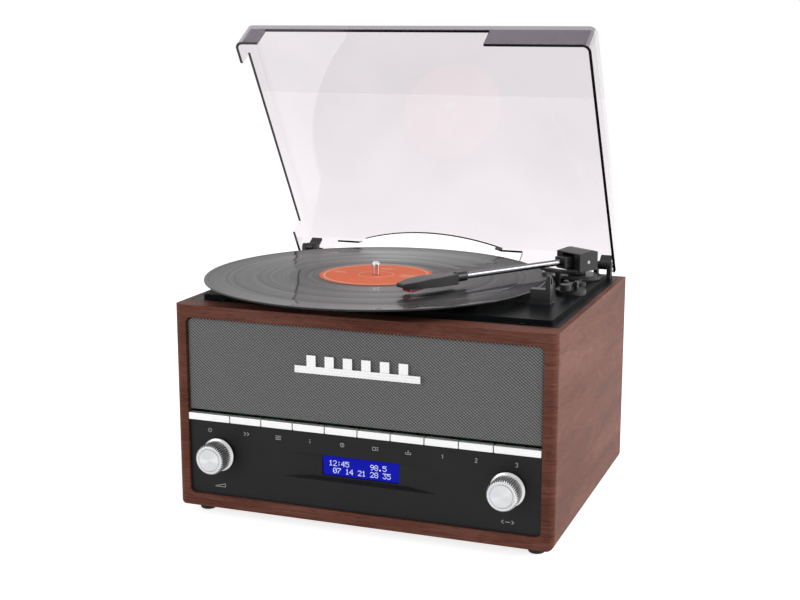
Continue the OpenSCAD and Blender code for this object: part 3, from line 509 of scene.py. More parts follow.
@dataclass(frozen=True)
class TwillCloth(Finish):
    """Speaker cloth of grey twisted yarn, woven in a twill.

    The eye sees slanting ribs. The yarn crowns are painted lighter as highlight, and the gaps darker, partly
    as painted shade and partly for the dark board seen through the weave.
    """

    rib_x_mm: float
    rib_z_mm: float
    # The gaps' colour is partly painted shade; the crowns' colour is a painted highlight.
    gap: str = "#343435"
    yarn: str = "#6c6c6c"
    crown: str = "#979797"
    counter: float = 0.45
    fibre_mm: float = 0.7
    relief_mm: float = 0.25

    def surface(self, tree: Tree, spot: Socket) -> Socket:
        """Builds the shader.

        Args:
            tree: the material's node tree.
            spot: where a point of the surface is, in metres.

        Returns:
            The shader's output.
        """
        waves = []
        for slant in (1.0, -1.0):
            turn = (math.tau / (self.rib_x_mm * MM), 0.0, slant * math.tau / (self.rib_z_mm * MM))
            phase = add_node(tree, "ShaderNodeVectorMath", {0: spot, 1: turn}, operation="DOT_PRODUCT")
            wave = add_node(tree, "ShaderNodeMath", {0: phase.outputs["Value"]}, operation="COSINE")
            waves.append(wave.outputs[0])
        crossed = add_node(tree, "ShaderNodeMath", {0: waves[1], 1: self.counter, 2: waves[0]},
                           operation="MULTIPLY_ADD")
        fibre = add_node(tree, "ShaderNodeTexNoise",
                         {"Vector": spot, "Scale": 1 / (self.fibre_mm * MM), "Detail": 3.0})
        ruffled = add_node(tree, "ShaderNodeMath", {0: fibre.outputs["Fac"], 1: 1.1, 2: crossed.outputs[0]},
                           operation="MULTIPLY_ADD")
        height = add_node(tree, "ShaderNodeMapRange", between(ruffled.outputs[0], 0.0, 1.0, (-1.0, 2.1)))
        # Painted shade in the low gaps and painted highlight on the high crowns, from the weave's height.
        tone = ramp(add_node(tree, "ShaderNodeValToRGB", {0: height.outputs[0]}),
                    ((0.12, self.gap), (0.50, self.yarn), (0.92, self.crown)))
        relief = add_node(tree, "ShaderNodeBump",
                          {"Height": height.outputs[0], "Strength": 0.6, "Distance": self.relief_mm * MM})
        return add_node(tree, "ShaderNodeBsdfPrincipled",
                        {"Base Color": tone, "Roughness": 0.72, "Sheen Weight": 0.15,
                         "Normal": relief.outputs[0]}).outputs[0]


@dataclass(frozen=True)
class PressedVinyl(Finish):
    """Black PVC pressed with a spiral groove, drawn 0.9 mm wide because the real one can't show.

    The eye sees near-black with light fanned out across the groove, and sharp mirror images over it.
    """

    centre: tuple[float, float, float]
    colour: str = "#0b0c0d"
    groove_mm: float = 0.9
    passage_mm: float = 5.5
    relief_mm: float = 0.03

    def surface(self, tree: Tree, spot: Socket) -> Socket:
        """Builds the shader.

        Args:
            tree: the material's node tree.
            spot: where a point of the surface is, in metres.

        Returns:
            The shader's output.
        """
        reach, ring = turned_rings(tree, spot, self.centre, self.groove_mm)
        ring_line = add_node(tree, "ShaderNodeCombineXYZ", {"X": reach})
        passages = add_node(tree, "ShaderNodeTexNoise",
                            {"Vector": ring_line.outputs[0], "Scale": 1 / (self.passage_mm * MM),
                             "Detail": 6.0, "Roughness": 0.75}).outputs["Fac"]
        wall = add_node(tree, "ShaderNodeMath", {0: ring, 1: passages}, operation="MULTIPLY")
        rough = add_node(tree, "ShaderNodeMapRange", between(passages, 0.2, 0.42))
        relief = add_node(tree, "ShaderNodeBump",
                          {"Height": wall.outputs[0], "Strength": 0.35, "Distance": self.relief_mm * MM})
        circle = add_node(tree, "ShaderNodeTangent", direction_type="RADIAL", axis="Z")
        return add_node(tree, "ShaderNodeBsdfPrincipled",
                        {"Base Color": linear(self.colour), "Roughness": rough.outputs[0],
                         "Anisotropic": 0.9, "Specular IOR Level": 0.14, "Normal": relief.outputs[0],
                         "Tangent": circle.outputs[0], "Coat Weight": 0.3,
                         "Coat Roughness": 0.03}).outputs[0]


@dataclass(frozen=True)
class PrintedPaper(Finish):
    """Uncoated label paper printed in one flat ink, pressed into the record.

    The eye sees a matt colour with a faint fibre mottle.
    """

    colour: str
    fibre_mm: float = 1.6
    relief_mm: float = 0.03

    def surface(self, tree: Tree, spot: Socket) -> Socket:
        """Builds the shader.

        Args:
            tree: the material's node tree.
            spot: where a point of the surface is, in metres.

        Returns:
            The shader's output.
        """
        fibre = add_node(tree, "ShaderNodeTexNoise",
                         {"Vector": spot, "Scale": 1 / (self.fibre_mm * MM), "Detail": 4.0}).outputs["Fac"]
        relief = add_node(tree, "ShaderNodeBump",
                          {"Height": fibre, "Strength": 0.2, "Distance": self.relief_mm * MM})
        return add_node(tree, "ShaderNodeBsdfPrincipled",
                        {"Base Color": shaded(tree, self.colour, fibre, 0.94, 1.05), "Roughness": 0.55,
                         "Normal": relief.outputs[0]}).outputs[0]


@dataclass(frozen=True)
class SmokedAcrylic(Finish):
    """Clear acrylic with a grey-violet tint, moulded 2.5 mm thick and polished by its mould.

    The eye sees a pale tint over what lies behind, and mirror images that strengthen at a slant.
    """

    tint: str
    haze_mm: float = 70.0

    def surface(self, tree: Tree, spot: Socket) -> Socket:
        """Builds the shader.

        Args:
            tree: the material's node tree.
            spot: where a point of the surface is, in metres.

        Returns:
            The shader's output.
        """
        haze = add_node(tree, "ShaderNodeTexNoise",
                        {"Vector": spot, "Scale": 1 / (self.haze_mm * MM), "Detail": 2.0}).outputs["Fac"]
        through = add_node(tree, "ShaderNodeBsdfTransparent",
                           {"Color": shaded(tree, self.tint, haze, 0.985, 1.015)})
        mirror = add_node(tree, "ShaderNodeBsdfGlossy", {"Color": (1, 1, 1, 1), "Roughness": 0.02})
        # Schlick's rule for acrylic: a 4% mirror face on, and all of it at a glancing angle
        slant = add_node(tree, "ShaderNodeLayerWeight", {"Blend": 0.5})
        fifth = add_node(tree, "ShaderNodeMath", {0: slant.outputs["Facing"], 1: 5.0}, operation="POWER")
        share = add_node(tree, "ShaderNodeMath", {0: fifth.outputs[0], 1: 0.96, 2: 0.04},
                         operation="MULTIPLY_ADD")
        return add_node(tree, "ShaderNodeMixShader",
                        {0: share.outputs[0], 1: through.outputs[0], 2: mirror.outputs[0]}).outputs[0]


@dataclass(frozen=True)
class LitGlass(Finish):
    """The blue backlight of a character display behind its glass.

    The eye sees an even deep blue that glows, with faint squares where the dots can light.
    """

    colour: str = "#0c14a6"
    dot_mm: float = 0.7
    glow: float = 0.45

    def surface(self, tree: Tree, spot: Socket) -> Socket:
        """Builds the shader.

        Args:
            tree: the material's node tree.
            spot: where a point of the surface is, in metres.

        Returns:
            The shader's output.
        """
        cells = add_node(tree, "ShaderNodeTexChecker", {"Vector": spot, "Scale": 1 / (self.dot_mm * MM)})
        tone = shaded(tree, self.colour, cells.outputs["Fac"], 0.92, 1.06, (0.0, 1.0))
        return add_node(tree, "ShaderNodeBsdfPrincipled",
                        {"Base Color": tone, "Roughness": 0.3, "Specular IOR Level": 0.08,
                         "Emission Color": tone, "Emission Strength": self.glow}).outputs[0]


@dataclass(frozen=True)
class Ink(Finish):
    """Screen-printed ink or a lit dot.

    The eye sees a flat pale mark with slightly uneven cover.
    """

    colour: str
    glow: float = 0.0
    cover_mm: float = 0.9

    def surface(self, tree: Tree, spot: Socket) -> Socket:
        """Builds the shader.

        Args:
            tree: the material's node tree.
            spot: where a point of the surface is, in metres.

        Returns:
            The shader's output.
        """
        cover = add_node(tree, "ShaderNodeTexNoise", {"Vector": spot, "Scale": 1 / (self.cover_mm * MM)})
        tone = shaded(tree, self.colour, cover.outputs["Fac"], 0.9, 1.04)
        return add_node(tree, "ShaderNodeBsdfPrincipled",
                        {"Base Color": tone, "Roughness": 0.6, "Emission Color": tone,
                         "Emission Strength": self.glow}).outputs[0]


@dataclass(frozen=True)
class Fibreboard(Finish):
    """Hardboard or particle board with a black-brown coat.

    The eye sees matt, short pressed fibres lying every way.
    """

    colour: str = "#1d1a18"
    fibre: str = "#37312c"
    fibre_mm: float = 2.2
    relief_mm: float = 0.08

    def surface(self, tree: Tree, spot: Socket) -> Socket:
        """Builds the shader.

        Args:
            tree: the material's node tree.
            spot: where a point of the surface is, in metres.

        Returns:
            The shader's output.
        """
        matted = add_node(tree, "ShaderNodeTexNoise",
                          {"Vector": spot, "Scale": 1 / (self.fibre_mm * MM), "Detail": 5.0,
                           "Roughness": 0.7, "Distortion": 1.2}).outputs["Fac"]
        tone = ramp(add_node(tree, "ShaderNodeValToRGB", {0: matted}),
                    ((0.35, self.colour), (0.72, self.fibre)))
        relief = add_node(tree, "ShaderNodeBump",
                          {"Height": matted, "Strength": 0.4, "Distance": self.relief_mm * MM})
        return add_node(tree, "ShaderNodeBsdfPrincipled",
                        {"Base Color": tone, "Roughness": 0.7, "Normal": relief.outputs[0]}).outputs[0]


@dataclass(frozen=True)
class CircuitBoard(Finish):
    """Glass-fibre board under green solder resist.

    The eye sees a glossy green with lighter tracks on a grid of about 2.5 mm.
    """

    resist: str = "#0f4a2b"
    track: str = "#2f7a4c"
    grid_mm: float = 2.54

    def surface(self, tree: Tree, spot: Socket) -> Socket:
        """Builds the shader.

        Args:
            tree: the material's node tree.
            spot: where a point of the surface is, in metres.

        Returns:
            The shader's output.
        """
        # The texture's unit is four grid steps, so that a brick is two steps long and one step high
        tracks = add_node(tree, "ShaderNodeTexBrick",
                          {"Vector": spot, "Scale": 1 / (self.grid_mm * 4 * MM),
                           "Color1": linear(self.resist), "Color2": linear(self.resist),
                           "Mortar": linear(self.track), "Mortar Size": 0.04})
        return add_node(tree, "ShaderNodeBsdfPrincipled",
                        {"Base Color": tracks.outputs["Color"], "Roughness": 0.3}).outputs[0]


SPINDLE = (-30.0, -7.0, 195.5)
KNOB_X = 127.0
WALNUT = WalnutVeneer("walnut_veneer_lacquered", knots=((165.0, -67.7, 164.1), (165.0, 77.3, 168.6)))
DECK_ABS = Moulded("black_abs_deck_grained", "#141617", roughness=0.34, grain_mm=0.9, relief_mm=0.03,
                   specular=0.04)
FASCIA_ABS = Moulded("black_abs_fascia_satin", "#1b1b1c", roughness=0.5, grain_mm=0.5, specular=0.2)
ARM_ABS = Moulded("dark_abs_arm_parts_satin", "#262425", roughness=0.3, grain_mm=0.8, specular=0.35)
HINGE_ABS = Moulded("black_nylon_hinges", "#121314", roughness=0.45)
RED_ABS = Moulded("red_abs_cartridge_glossy", "#a30a10", roughness=0.16, drift=0.05)
RUBBER = Moulded("black_rubber_moulded", "#0d0d0e", roughness=0.75, grain_mm=1.2, relief_mm=0.05)
RED_PLASTIC = Moulded("red_polyethylene_socket", "#b5191c", roughness=0.35, drift=0.05)
WHITE_PLASTIC = Moulded("white_polyethylene_socket", "#e6e4df", roughness=0.35, drift=0.05)
SILVER_KEY = Metal("silver_lacquer_on_abs_keys", "#f6f6f6", roughness=0.38, metallic=0.55, lay=Lay.ALONG_X,
                   wear=0.03)
SILVER_BADGE = Metal("satin_chrome_on_abs_badge", "#dcdcdc", roughness=0.3, metallic=0.9, lay=Lay.ALONG_X)
ALUMINIUM = Metal("aluminium_bright_knurled", "#c9c9c9", roughness=0.2, lay=Lay.ALONG_Z)
CAST_ALUMINIUM = Metal("aluminium_diecast_platter", "#a9abac", roughness=0.38)
CHROME = Metal("chrome_plated_steel", "#dfe0e0", roughness=0.1)
ARM_TUBE = Metal("aluminium_polished_arm_tube", "#7c7d80", roughness=0.2)
ZINC = Metal("zinc_plated_steel", "#9d9fa1", roughness=0.34)
BLACK_SCREW = Metal("steel_screw_blackened", "#1b1c1d", roughness=0.35)
BRASS = Metal("brass_turned", "#b98d3a", roughness=0.28)
LACQUERED_COPPER = Metal("copper_winding_lacquered", "#a5622c", roughness=0.3, lay=Lay.ALONG_X)
HARDBOARD = Fibreboard("black_hardboard")
BOARD = CircuitBoard("circuit_board_green")
VINYL = PressedVinyl("pvc_record_pressed", SPINDLE)
LABEL_PAPER = PrintedPaper("label_paper_orange", "#ff7038")
LABEL_CREAM = PrintedPaper("label_paper_cream_print", "#f1dcb4")
COVER_PANE = SmokedAcrylic("smoked_acrylic_pane", "#f4f1f3")
# The front band takes a darker tint than the pane; what darkens the band on the real cover is not known.
COVER_BAND = SmokedAcrylic("smoked_acrylic_front_band", "#b2adb4")
COVER_RIM = Moulded("smoked_acrylic_cut_edge", "#1c1a1d", roughness=0.14, drift=0.05)
LCD = LitGlass("display_glass_blue_backlight")
LIT_DOT = Ink("display_dot_lit_white", "#dfe6ff", glow=0.55)
LEGEND_INK = Ink("screen_print_light_grey", "#b9babb")

DRESSED_NODES: tuple[tuple[Finish, tuple[str, ...]], ...] = (
    (HARDBOARD, ("front_baffle",)),
    (BOARD, ("display_module", "control_board", "main_board")),
    (HINGE_ABS, ("key_switches", "volume_encoder", "tune_encoder")),
    (ZINC, ("driver_left", "driver_right", "drive_motor", "tune_shaft", "arm_pivot_pin")),
    (RUBBER, ("driver_cones", "drive_belt", "platter_mat")),
    (BRASS, ("spindle_bearing", "motor_pulley")),
    (LACQUERED_COPPER, ("power_supply",)),
)


# Making meshes

WELD_MM = 0.001
CAD_WELD_MM = 0.002
FLAT_DEG = 1.0
SHARP_DEG = 32.0
CAD_SMOOTH_DEG = 50.0


def from_front(u: float, v: float, h: float) -> Point:
    """Stands an outline upright, facing the front, with its height as depth."""
    return (u, h, v)


def on_spindle(u: float, v: float, h: float) -> Point:
    """Lays an outline level about the spindle."""
    return (SPINDLE[0] + u, SPINDLE[1] + v, h)


def rectangle(x: float, y: float, width: float, height: float) -> list[tuple[float, float]]:
    """Returns the corners of a rectangle, in order from its lower left one."""
    return [(x, y), (x + width, y), (x + width, y + height), (x, y + height)]


class Draft:
    """Points in cabinet millimetres, faces and finish numbers, gathered before one object is made of them."""

    def __init__(self) -> None:
        """Starts empty."""
        self.points: list[tuple[float, float, float]] = []
        self.faces: list[tuple[int, ...]] = []
        self.finish: list[int] = []

    def add(self, points: Sequence[Point], faces: Sequence[Sequence[int]], finish: int = 0) -> None:
        """Adds points and the faces between them.

        Args:
            points: the new points.
            faces: for each face, numbers among the new points.
            finish: which of the object's finishes the faces take.
        """
        start = len(self.points)
        self.points.extend(tuple(p) for p in points)
        self.faces.extend(tuple(start + i for i in face) for face in faces)
        self.finish.extend([finish] * len(faces))

    def prism(self, outline: Sequence[tuple[float, float]], spread: Spread, low: float, high: float,
              finish: int = 0) -> None:
        """Adds a closed prism.

        Args:
            outline: the corners of its flat outline, in order.
            spread: turns the outline's two coordinates and a height into a point.
            low: the height of its first end.
            high: the height of its second end.
            finish: which finish it takes.
        """
        n = len(outline)
        points = [spread(u, v, h) for h in (low, high) for u, v in outline]
        sides = [(i, (i + 1) % n, n + (i + 1) % n, n + i) for i in range(n)]
        self.add(points, [tuple(reversed(range(n))), tuple(range(n, 2 * n)), *sides], finish)

    def lathe(self, profile: Sequence[tuple[float, float]], spread: Spread, steps: int,
              finish: int | Sequence[int] = 0,
              swell: Callable[[float, int], float] = lambda angle, ring: 0.0) -> None:
        """Adds a body of revolution, closed on its axis where the profile's ends have no radius.

        Args:
            profile: radius and height of each ring, from one end to the other.
            spread: turns two coordinates across the axis and a height into a point.
            steps: how many points are in a ring.
            finish: the finish, or one for each strip between two rings.
            swell: what an angle and a ring's number add to the radius.
        """
        points = [spread((r + swell(a, k)) * math.cos(a), (r + swell(a, k)) * math.sin(a), h)
                  for k, (r, h) in enumerate(profile) for a in (math.tau * i / steps for i in range(steps))]
        strips = range(len(profile) - 1)
        start = len(self.faces)
        self.add(points, [(k * steps + i, k * steps + (i + 1) % steps, (k + 1) * steps + (i + 1) % steps,
                           (k + 1) * steps + i) for k in strips for i in range(steps)])
        numbers = [finish] * len(strips) if isinstance(finish, int) else list(finish)
        self.finish[start:] = [numbers[k] for k in strips for _ in range(steps)]

    def ring(self, inner: float, outer: float, low: float, high: float, spread: Spread, steps: int) -> None:
        """Adds a plain ring.

        Args:
            inner: the radius of its hole.
            outer: its radius.
            low: the height of its first end.
            high: the height of its second end.
            spread: turns two coordinates across the axis and a height into a point.
            steps: how many points are in a ring.
        """
        section = [*rectangle(inner, low, outer - inner, high - low), (inner, low)]
        self.lathe(section, spread, steps)

    def stroke(self, path: Sequence[tuple[float, float]], width: float, y_face: float, proud: float) -> None:
        """Adds a printed line on a face that looks to the front.

        Args:
            path: the line's corners, as x and z.
            width: how wide the line is.
            y_face: where the face is.
            proud: how far the ink stands off it.
        """
        for (x0, z0), (x1, z1) in zip(path, path[1:]):
            run = math.hypot(x1 - x0, z1 - z0) or 1.0
            side_x, side_z = -(z1 - z0) / run * width / 2, (x1 - x0) / run * width / 2
            self.prism([(x0 - side_x, z0 - side_z), (x1 - side_x, z1 - side_z),
                        (x1 + side_x, z1 + side_z), (x0 + side_x, z0 + side_z)],
                       from_front, y_face, y_face - proud)

    def build(self, name: str, body: str, slot: str, finishes: Sequence[Finish],
              smooth_deg: float = 35.0) -> bpy.types.Object:
        """Makes the object and lets it ride.

        Args:
            name: the piece's name.
            body: the CAD body that it rides on.
            slot: the record's material slot. It is not used.
            finishes: the finishes, in the order of their numbers.
            smooth_deg: edges under this angle are shaded smooth.

        Returns:
            The new object.
        """
        mesh = bpy.data.meshes.new(name)
        mesh.from_pydata([place(*p) for p in self.points], [], self.faces)
        mesh.polygons.foreach_set("material_index", self.finish)
        tidy = bmesh.new()
        tidy.from_mesh(mesh)
        bmesh.ops.remove_doubles(tidy, verts=tidy.verts, dist=WELD_MM * MM)
        bmesh.ops.recalc_face_normals(tidy, faces=tidy.faces)
        tidy.to_mesh(mesh)
        tidy.free()
        return settle(mesh, name, body, finishes, smooth_deg)


def settle(mesh: bpy.types.Mesh, name: str, body: str, finishes: Sequence[Finish],
           smooth_deg: float) -> bpy.types.Object:
    """Puts a mesh into the scene as a piece.

    Args:
        mesh: the mesh, in the row frame.
        name: the piece's name.
        body: the CAD body that it rides on.
        finishes: the finishes, in the order of their numbers.
        smooth_deg: edges under this angle are shaded smooth.

    Returns:
        The new object.
    """
    for finish in finishes:
        mesh.materials.append(finish.material())
    mesh.shade_smooth()
    mesh.set_sharp_from_angle(angle=math.radians(smooth_deg))
    piece = bpy.data.objects.new(name, mesh)
    bpy.context.scene.collection.objects.link(piece)
    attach(piece, body)
    return piece


def body_of(node: str) -> str:
    """Returns the name of the CAD body that a node belongs to."""
    return frame["nodes"][node]["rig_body"]


def dress(node: str, finish: Finish) -> None:
    """Gives a CAD node its finish and leaves its shape alone.

    Args:
        node: the CAD node.
        finish: its finish.
    """
    for entry in frame["nodes"][node].material_slots:
        entry.material = finish.material()
    log.info("dressed %s in %s", node, finish.name)


def soften(node: str, finishes: Finish | Sequence[Finish], edge: float = 0.4, segments: int = 2,
           choose: Callable[[Vector, Vector], int] | None = None,
           wide: Callable[[Vector], float] | None = None) -> bpy.types.Object:
    """Makes a copy of a CAD node with moulded edges and lets it stand for the node.

    Args:
        node: the CAD node.
        finishes: the copy's finish, or several.
        edge: how wide the rounding of each sharp edge is.
        segments: how many faces the rounding has.
        choose: turns a face's middle in cabinet millimetres and its normal into a finish number.
        wide: turns an edge's middle in cabinet millimetres into a rounding of its own.

    Returns:
        The new piece.
    """
    finishes = [finishes] if isinstance(finishes, Finish) else list(finishes)
    shape = bmesh.new()
    shape.from_mesh(frame["nodes"][node].data)
    bmesh.ops.remove_doubles(shape, verts=shape.verts, dist=CAD_WELD_MM * MM)
    bmesh.ops.dissolve_limit(shape, angle_limit=math.radians(FLAT_DEG), use_dissolve_boundaries=False,
                             verts=shape.verts, edges=shape.edges)
    sharp = [e for e in shape.edges if e.is_manifold and e.calc_face_angle(0) > math.radians(SHARP_DEG)]
    if wide is None:
        bmesh.ops.bevel(shape, geom=sharp, offset=edge * MM, segments=segments, profile=0.5,
                        affect="EDGES", clamp_overlap=True)
    else:
        groups: dict[float, list[bmesh.types.BMEdge]] = {}
        for e in sharp:
            middle = (e.verts[0].co + e.verts[1].co) / 2
            groups.setdefault(wide(middle / MM - ORIGIN_SHIFT), []).append(e)
        for size in sorted(groups, reverse=True):
            kept = [e for e in groups[size] if e.is_valid]
            if size and kept:
                bmesh.ops.bevel(shape, geom=kept, offset=size * MM, segments=segments, profile=0.5,
                                affect="EDGES", clamp_overlap=True)
    for face in shape.faces:
        middle = face.calc_center_median() / MM - ORIGIN_SHIFT
        face.material_index = choose(middle, face.normal) if choose else 0
    mesh = bpy.data.meshes.new(node + "_finished")
    shape.to_mesh(mesh)
    shape.free()
    piece = settle(mesh, node + "_finished", body_of(node), finishes, CAD_SMOOTH_DEG)
    flatter = piece.modifiers.new("even_shading", "WEIGHTED_NORMAL")
    flatter.keep_sharp = True
    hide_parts(node)
    log.info("softened %s, %d faces", node, len(mesh.polygons))
    return piece


# Sub-assemblies

@dataclass
class Cabinet:
    """The veneered case with its feet, boards and screws."""

    edge: float = 0.9
    screw_edge: float = 0.3
    deck_z: float = 178.0

    def build(self) -> None:
        """Builds the case."""
        soften("cabinet_shell", WALNUT, edge=self.edge, segments=3)
        soften("feet", RUBBER, edge=0.7)
        soften("case_screws", [ZINC, BLACK_SCREW], edge=self.screw_edge,
               choose=lambda middle, normal: int(middle.z > self.deck_z))
        soften("rear_panel", HARDBOARD, edge=0.4)
        soften("base_panel", HARDBOARD, edge=0.5)


@dataclass
class Grille:
    """The speaker cloth on its frame, with the badge in front of it."""

    half_w: float = 154.2
    low: float = 92.5
    high: float = 172.2
    front: float = -124.5
    back: float = -121.5
    corner: float = 5.0
    step: float = 0.62
    rib_x: float = 3.1
    rib_z: float = 2.5
    relief: float = 0.42
    counter: float = 0.45
    border: float = 0.55
    roll: float = 2.0

    def crest(self, x: float) -> float:
        """Returns the height of the frame's rounded top edge at x."""
        inside = max(0.0, abs(x) - (self.half_w - self.corner))
        return self.high - self.corner + math.sqrt(max(0.0, self.corner ** 2 - inside ** 2))

    def build(self) -> None:
        """Builds the cloth and the badge."""
        columns = round(2 * self.half_w / self.step)
        rows = round((self.high - self.low) / self.step)
        xs = np.linspace(-self.half_w, self.half_w, columns + 1)
        tops = np.array([self.crest(x) for x in xs])
        share = np.linspace(0.0, 1.0, rows + 1)
        x = np.repeat(xs[:, None], rows + 1, axis=1)
        z = self.low + share[None, :] * (tops[:, None] - self.low)
        # The phases are taken in the row frame, as the cloth's material takes them
        turn_x = math.tau * (x + ORIGIN_SHIFT.x) / self.rib_x
        turn_z = math.tau * z / self.rib_z
        waves = np.cos(turn_x + turn_z) + self.counter * np.cos(turn_x - turn_z)
        height = (waves / (1 + self.counter) + 1) / 2
        margin = np.minimum.reduce([self.half_w - np.abs(x), z - self.low, tops[:, None] - z])
        crown = np.clip(margin / self.roll, 0.0, 1.0) ** 0.5
        stand = (self.front - self.back) * (self.border + (1 - self.border) * crown)
        y = self.back + stand + (1 - height) * self.relief * crown
        tall = rows + 1
        draft = Draft()
        front = [(i * tall + k, (i + 1) * tall + k, (i + 1) * tall + k + 1, i * tall + k + 1)
                 for i in range(columns) for k in range(rows)]
        draft.add(np.stack([x, y, z], axis=2).reshape(-1, 3).tolist(), front)
        loop = [(i, 0) for i in range(columns)] + [(columns, k) for k in range(rows)]
        loop += [(i, rows) for i in range(columns, 0, -1)] + [(0, k) for k in range(rows, 0, -1)]
        ring = [i * tall + k for i, k in loop]
        base = len(draft.points)
        draft.points.extend((float(x[i, k]), self.back, float(z[i, k])) for i, k in loop)
        n = len(loop)
        draft.faces.extend((ring[j], ring[(j + 1) % n], base + (j + 1) % n, base + j) for j in range(n))
        draft.faces.append(tuple(base + j for j in range(n)))
        draft.finish.extend([0] * (n + 1))
        cloth = draft.build("grille_cloth_woven", "cabinet", "grille_cloth",
                            [TwillCloth("speaker_cloth_grey_twill", self.rib_x, self.rib_z)], 60.0)
        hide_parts("speaker_grille")
        log.info("wove the grille, %d faces", len(draft.faces))
        soften("badge_bar", SILVER_BADGE, edge=0.5)


class Symbol(Enum):
    """Plain control marks, as strokes of x and z about the mark's middle."""

    POWER = (((-1.1, 1.2), (-1.7, 0.2), (-1.2, -1.2), (0.0, -1.7), (1.2, -1.2), (1.7, 0.2), (1.1, 1.2)),
             ((0.0, 0.1), (0.0, 1.9)))
    SEEK = (((-2.4, 1.5), (-0.4, 0.0), (-2.4, -1.5)), ((0.4, 1.5), (2.4, 0.0), (0.4, -1.5)))
    BARS = (((-2.6, 1.4), (2.6, 1.4)), ((-2.6, 0.0), (2.6, 0.0)), ((-2.6, -1.4), (2.6, -1.4)))
    POINT = (((0.0, -1.7), (0.0, 0.5)), ((0.0, 1.2), (0.0, 1.8)))
    CLOCK = (((-1.7, 0.0), (-1.2, 1.2), (0.0, 1.7), (1.2, 1.2), (1.7, 0.0), (1.2, -1.2), (0.0, -1.7),
              (-1.2, -1.2), (-1.7, 0.0)), ((0.0, 1.0), (0.0, 0.0), (0.8, -0.3)))
    SQUARES = (((-2.4, -1.3), (-2.4, 1.3), (0.2, 1.3), (0.2, -1.3), (-2.4, -1.3)), ((1.1, 1.3), (2.6, 1.3)),
               ((1.1, -1.3), (2.6, -1.3)), ((1.1, 0.0), (2.6, 0.0)))
    STORE = (((-2.2, 0.3), (-2.2, -1.5), (2.2, -1.5), (2.2, 0.3)), ((0.0, 1.9), (0.0, -0.4)),
             ((-0.8, 0.4), (0.0, -0.5), (0.8, 0.4)))
    ONE = (((-0.6, 1.0), (0.2, 1.6), (0.2, -1.6)),)
    TWO = (((-1.0, 0.9), (-0.5, 1.6), (0.5, 1.6), (1.0, 0.9), (-1.0, -1.6), (1.1, -1.6)),)
    THREE = (((-1.0, 1.3), (-0.3, 1.6), (0.5, 1.5), (0.9, 0.8), (0.1, 0.1), (0.9, -0.6), (0.6, -1.5),
              (-0.3, -1.7), (-1.0, -1.3)),)
    WEDGE = (((-5.0, -1.3), (5.0, -1.3), (5.0, 1.5), (-5.0, -1.3)),)
    ARROWS = (((-3.2, 1.4), (-5.2, 0.0), (-3.2, -1.4)), ((3.2, 1.4), (5.2, 0.0), (3.2, -1.4)),
              ((-2.0, 0.0), (2.0, 0.0)))


@dataclass
class ControlPanel:
    """The fascia with its printed marks, keys and lit display."""

    face: float = -124.5
    ink_proud: float = 0.12
    stroke_w: float = 0.55
    mark_z: float = 75.4
    mark_x: tuple[float, ...] = (-135.4, -101.0, -71.7, -42.9, -14.1, 15.0, 43.3, 72.4, 100.5, 133.7)
    marks: tuple[Symbol, ...] = (Symbol.POWER, Symbol.SEEK, Symbol.BARS, Symbol.POINT, Symbol.CLOCK,
                                 Symbol.SQUARES, Symbol.STORE, Symbol.ONE, Symbol.TWO, Symbol.THREE)
    knob_mark_z: float = 27.5
    glass: float = -119.1
    dot_w: float = 0.56
    dot_h: float = 0.6
    dot_proud: float = 0.08
    dot_pitch: float = 0.68
    dots_wide: int = 5
    dots_high: int = 7
    letter_pitch: float = 3.66
    first_x: float = -28.3
    rows_z: tuple[float, float] = (56.9, 50.7)
    rows_text: tuple[str, str] = ("12:45     98.5", " 07 14 21 28 35")
    digits: dict[str, tuple[int, ...]] = field(default_factory=lambda: {
        "0": (14, 17, 19, 21, 25, 17, 14), "1": (4, 12, 4, 4, 4, 4, 14), "2": (14, 17, 1, 2, 4, 8, 31),
        "3": (31, 2, 4, 2, 1, 17, 14), "4": (2, 6, 10, 18, 31, 2, 2), "5": (31, 16, 30, 1, 1, 17, 14),
        "7": (31, 1, 2, 4, 8, 8, 8), "8": (14, 17, 17, 14, 17, 17, 14), "9": (14, 17, 17, 15, 1, 2, 12),
        ":": (0, 4, 4, 0, 4, 4, 0), ".": (0, 0, 0, 0, 0, 12, 12)})

    def build(self) -> None:
        """Builds the panel's pieces."""
        soften("fascia", FASCIA_ABS, edge=0.35)
        self.print_marks()
        self.light_display()
        for number in range(1, 11):
            soften(f"key_{number:02d}", SILVER_KEY, edge=0.55, segments=3)

    def print_marks(self) -> None:
        """Prints the marks under the keys and the knobs."""
        draft = Draft()
        places = list(zip(self.marks, self.mark_x, [self.mark_z] * len(self.marks)))
        places += [(Symbol.WEDGE, -KNOB_X, self.knob_mark_z), (Symbol.ARROWS, KNOB_X, self.knob_mark_z)]
        for symbol, x, z in places:
            for line in symbol.value:
                draft.stroke([(x + u, z + v) for u, v in line], self.stroke_w, self.face, self.ink_proud)
        draft.build("fascia_printed_marks", "cabinet", "black_plastic", [LEGEND_INK])
        log.info("printed the fascia marks")

    def light_display(self) -> None:
        """Lights the display's plain digits, dot by dot."""
        dress("display_window", LCD)
        draft = Draft()
        dots = [(column, row, bit, middle) for text, middle in zip(self.rows_text, self.rows_z)
                for column, letter in enumerate(text)
                for row, bits in enumerate(self.digits.get(letter, ()))
                for bit in range(self.dots_wide) if bits >> (self.dots_wide - 1 - bit) & 1]
        for column, row, bit, middle in dots:
            x = self.first_x + column * self.letter_pitch + bit * self.dot_pitch
            z = middle + (self.dots_high // 2 - row) * self.dot_pitch
            draft.prism(rectangle(x, z, self.dot_w, self.dot_h), from_front, self.glass,
                        self.glass - self.dot_proud)
        draft.build("display_lit_digits", "cabinet", "display", [LIT_DOT])
        log.info("lit the display, %d faces", len(draft.faces))


